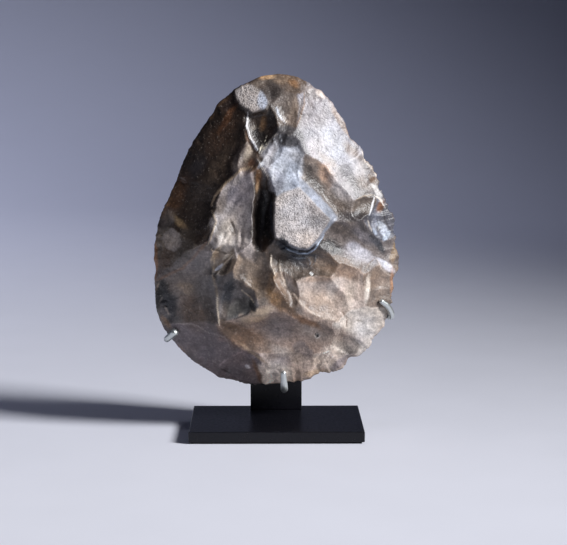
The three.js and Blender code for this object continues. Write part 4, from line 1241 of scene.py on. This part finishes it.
def make_rod(name, stub_start, points, tip_scale, swell):
    """A round rod, straight along its stub and then on a smooth curve through the points."""
    stub = [stub_start + (points[0] - stub_start) * share for share in (0, 0.25, 0.5, 0.75)]
    path = np.vstack([stub, smooth_path(points)])
    tangents = np.gradient(path, axis=0)
    tangents /= np.linalg.norm(tangents, axis=1)[:, None]
    normal = np.cross(tangents[0], (0, 0, 1))
    turns = np.arange(ROD_SIDES) * 2 * math.pi / ROD_SIDES
    rings = []
    for centre, tangent, size in zip(path, tangents, rod_radii(path, tip_scale, swell)):
        normal = normal - tangent * normal.dot(tangent)
        normal = normal / np.linalg.norm(normal)
        side = np.cross(tangent, normal)
        rings.append(centre + size * (np.cos(turns)[:, None] * normal + np.sin(turns)[:, None] * side))
    vertices = np.vstack(rings + [path[:1], path[-1:]])
    foot = len(vertices) - 2
    tip = len(vertices) - 1
    last = (len(path) - 1) * ROD_SIDES
    faces = []
    for here in range(0, last, ROD_SIDES):
        for k in range(ROD_SIDES):
            after = (k + 1) % ROD_SIDES
            faces.append((here + k, here + after, here + ROD_SIDES + after, here + ROD_SIDES + k))
    for k in range(ROD_SIDES):
        after = (k + 1) % ROD_SIDES
        faces.append((foot, after, k))
        faces.append((tip, last + k, last + after))
    return mesh_object(name, vertices.tolist(), faces)


# How much more room a rod needs where the face slants towards the edge
SLANT_ROOM = 0.4


def one_point(face, degrees, reach, uncut=False):
    """A point on a face, or on the dome that it was cut from."""
    points, _ = face_points(face, np.array([math.radians(degrees)]), np.array([float(reach)]))
    point = points[0]
    if uncut:
        point[1] = EDGE_PLANE_Y + face["sign"] * face["bulge"] * dome(float(reach))
    return point


def beside(face, degrees, reach, uncut=False):
    """A rod's middle where it lies beside a face."""
    point = one_point(face, degrees, reach, uncut)
    point[1] += face["sign"] * PRONG_CLEARANCE * (1 + SLANT_ROOM * reach)
    return point


def outside_edge(degrees):
    """A rod's middle where it goes round the edge."""
    point = one_point(FRONT, degrees, 1)
    point[0] += math.cos(math.radians(degrees)) * PRONG_CLEARANCE
    point[2] += math.sin(math.radians(degrees)) * PRONG_CLEARANCE
    return point


def side_prong(name, side, behind, round_at, front_places, tip_scale, swell):
    """From the post's side face along the back of the stone and round its edge. behind and
    the places on the front are an angle in degrees and a reach."""
    post_low, post_high = [np.array(corner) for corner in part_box("post")]
    post_side = post_high[0] if side > 0 else post_low[0]
    stub_start = np.array([post_side, (post_low[1] + post_high[1]) / 2, PLATE_TOP + SIDE_ARM_HEIGHT])
    arm_start = stub_start + np.array([side * PRONG_STUB, 0, 0])
    behind_edge = beside(BACK, *behind, uncut=True)
    halfway = (arm_start + behind_edge) / 2
    dx = halfway[0] / HUNDREDTH
    dz = (halfway[2] - AXE_BOTTOM) / HUNDREDTH - OUTLINE_CENTRE
    angle = math.atan2(dz, dx)
    reach = math.hypot(dx, dz) / float(outline_radius(np.array(angle)))
    elbow = beside(BACK, math.degrees(angle), reach, uncut=True)
    front = [beside(FRONT, *place) for place in front_places]
    points = [arm_start, elbow, behind_edge, outside_edge(round_at)] + front
    return make_rod(name, stub_start, points, tip_scale, swell)


def bottom_prong(name, round_at, tip_reach, tip_scale, swell):
    """From the post's front face straight under the stone's edge and up over its front."""
    under = outside_edge(round_at)
    post_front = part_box("post")[0][1]
    stub_start = np.array([under[0], post_front, under[2]])
    behind_edge = np.array([under[0], EDGE_PLANE_Y + PRONG_CLEARANCE, under[2]])
    tip = beside(FRONT, round_at, tip_reach)
    corner = np.array([under[0], (under[1] + tip[1]) / 2 - PRONG_RADIUS, under[2]])
    return make_rod(name, stub_start, [behind_edge, corner, tip], tip_scale, swell)


def make_stand():
    black = plain_material("satin_black", (0.006, 0.006, 0.009), spread=0.2, roughness=0.32,
                           metallic=0.0, scale=900, bump=0.08, gloss=0.3)
    dull = plain_material("dark_pad", (0.008, 0.008, 0.01), spread=0.3, roughness=0.85,
                          metallic=0.0, scale=2500, bump=0.3)
    steel = plain_material("prong_metal", (0.62, 0.65, 0.64), spread=0.08, roughness=0.34,
                           metallic=0.85, scale=1400, bump=0.1)
    pieces = [
        (bevelled_box("stand_plate", "base_plate", 0.35 * MM), "base_plate", "black_metal", black),
        (bevelled_box("stand_post", "post", 0.3 * MM), "post", "black_metal", black),
        (bevelled_box("stand_pad", "base_pad", 0.12 * MM), "base_pad", "pad", dull),
        (side_prong("wire_left", -1, behind=(222, 0.9), round_at=220, front_places=[(219.4, 0.925)],
                    tip_scale=1.35, swell=1.1), "prong_left", "prong_steel", steel),
        (side_prong("wire_right", 1, behind=(325, 0.9), round_at=329,
                    front_places=[(332.2, 0.98), (333.6, 0.9)],
                    tip_scale=0.9, swell=1.05), "prong_right", "prong_steel", steel),
        (bottom_prong("wire_bottom", round_at=273.2, tip_reach=0.885, tip_scale=0.95, swell=1.25),
         "prong_bottom", "prong_steel", steel),
    ]
    for piece in pieces:
        finish_piece(*piece)


# Stage, lights and camera

FLOOR_HALF_WIDTH = 4.0
FLOOR_FRONT = -3.0
FLOOR_END = 1.0
FLOOR_CURVE = 1.6
FLOOR_CURVE_STEPS = 24
BACKDROP_TOP = 3.0


def make_stage():
    """A pale floor that runs back and curves up into a backdrop."""
    profile = [(FLOOR_FRONT, 0.0), (FLOOR_END, 0.0)]
    for k in range(1, FLOOR_CURVE_STEPS + 1):
        turn = math.pi / 2 * k / FLOOR_CURVE_STEPS
        profile.append((FLOOR_END + FLOOR_CURVE * math.sin(turn), FLOOR_CURVE * (1 - math.cos(turn))))
    profile.append((FLOOR_END + FLOOR_CURVE, BACKDROP_TOP))
    vertices = [(x, y, z) for y, z in profile for x in (-FLOOR_HALF_WIDTH, FLOOR_HALF_WIDTH)]
    faces = [(2 * k, 2 * k + 1, 2 * k + 3, 2 * k + 2) for k in range(len(profile) - 1)]
    floor = mesh_object("studio_floor", vertices, faces)
    floor.data.materials.append(plain_material(
        "pale_floor", (0.77, 0.78, 0.86), spread=0.01, roughness=0.8, metallic=0, scale=30, bump=0.02))


def area_light(name, place, target, size, spread, energy, colour):
    """A soft rectangular light, with its spread in degrees, whose -Z points at its target."""
    light = bpy.data.lights.new(name, "AREA")
    light.shape = "RECTANGLE"
    light.size, light.size_y = size
    light.energy = energy
    light.color = colour
    light.spread = math.radians(spread)
    lamp = add_object(name, light)
    lamp.location = place
    direction = np.array(target) - np.array(place)
    x, y, z = direction / np.linalg.norm(direction)
    lamp.rotation_euler = (math.acos(-z), 0, math.atan2(-x, y))
    lamp.visible_camera = False


def make_lights():
    area_light("softbox_right", place=(0.89, -0.47, 0.72), target=(-0.96, 0.13, 0),
               size=(0.3, 0.36), spread=73, energy=5.5, colour=(0.98, 0.985, 1.0))
    area_light("backdrop_glow", place=(-0.3, -0.27, 2.4), target=(-0.8, 1.08, 0),
               size=(0.5, 0.5), spread=54, energy=4.8, colour=(0.76, 0.8, 1.0))
    world = bpy.data.worlds.new("studio")
    bpy.context.scene.world = world
    world.use_nodes = True
    background = world.node_tree.nodes["Background"]
    background.inputs["Color"].default_value = (0.45, 0.5, 0.75, 1)
    background.inputs["Strength"].default_value = 0.05


# The photograph's view, taken with a long lens from a little above
CAMERA_PLACE = (-3.8 * MM, -656.8 * MM, 139.6 * MM)
CAMERA_PITCH = math.radians(6.85)
CAMERA_YAW = math.radians(0.57)
SENSOR_WIDTH = 36.0
FOCAL_PIXELS = 1748
PHOTO_WIDTH = 567
CAMERA_CLIP_START = 0.05


def make_camera():
    camera = bpy.data.cameras.new("photo_view")
    camera.sensor_fit = "HORIZONTAL"
    camera.sensor_width = SENSOR_WIDTH
    camera.lens = SENSOR_WIDTH * FOCAL_PIXELS / PHOTO_WIDTH
    camera.clip_start = CAMERA_CLIP_START
    view = add_object("photo_view", camera)
    view.location = CAMERA_PLACE
    view.rotation_euler = (math.pi / 2 - CAMERA_PITCH, 0, -CAMERA_YAW)
    bpy.context.scene.camera = view
    bpy.context.scene.view_settings.view_transform = "Standard"


make_camera()
finish_piece(make_stone(), "hand_axe", "flint", flint_material())
make_stand()
make_stage()
make_lights()
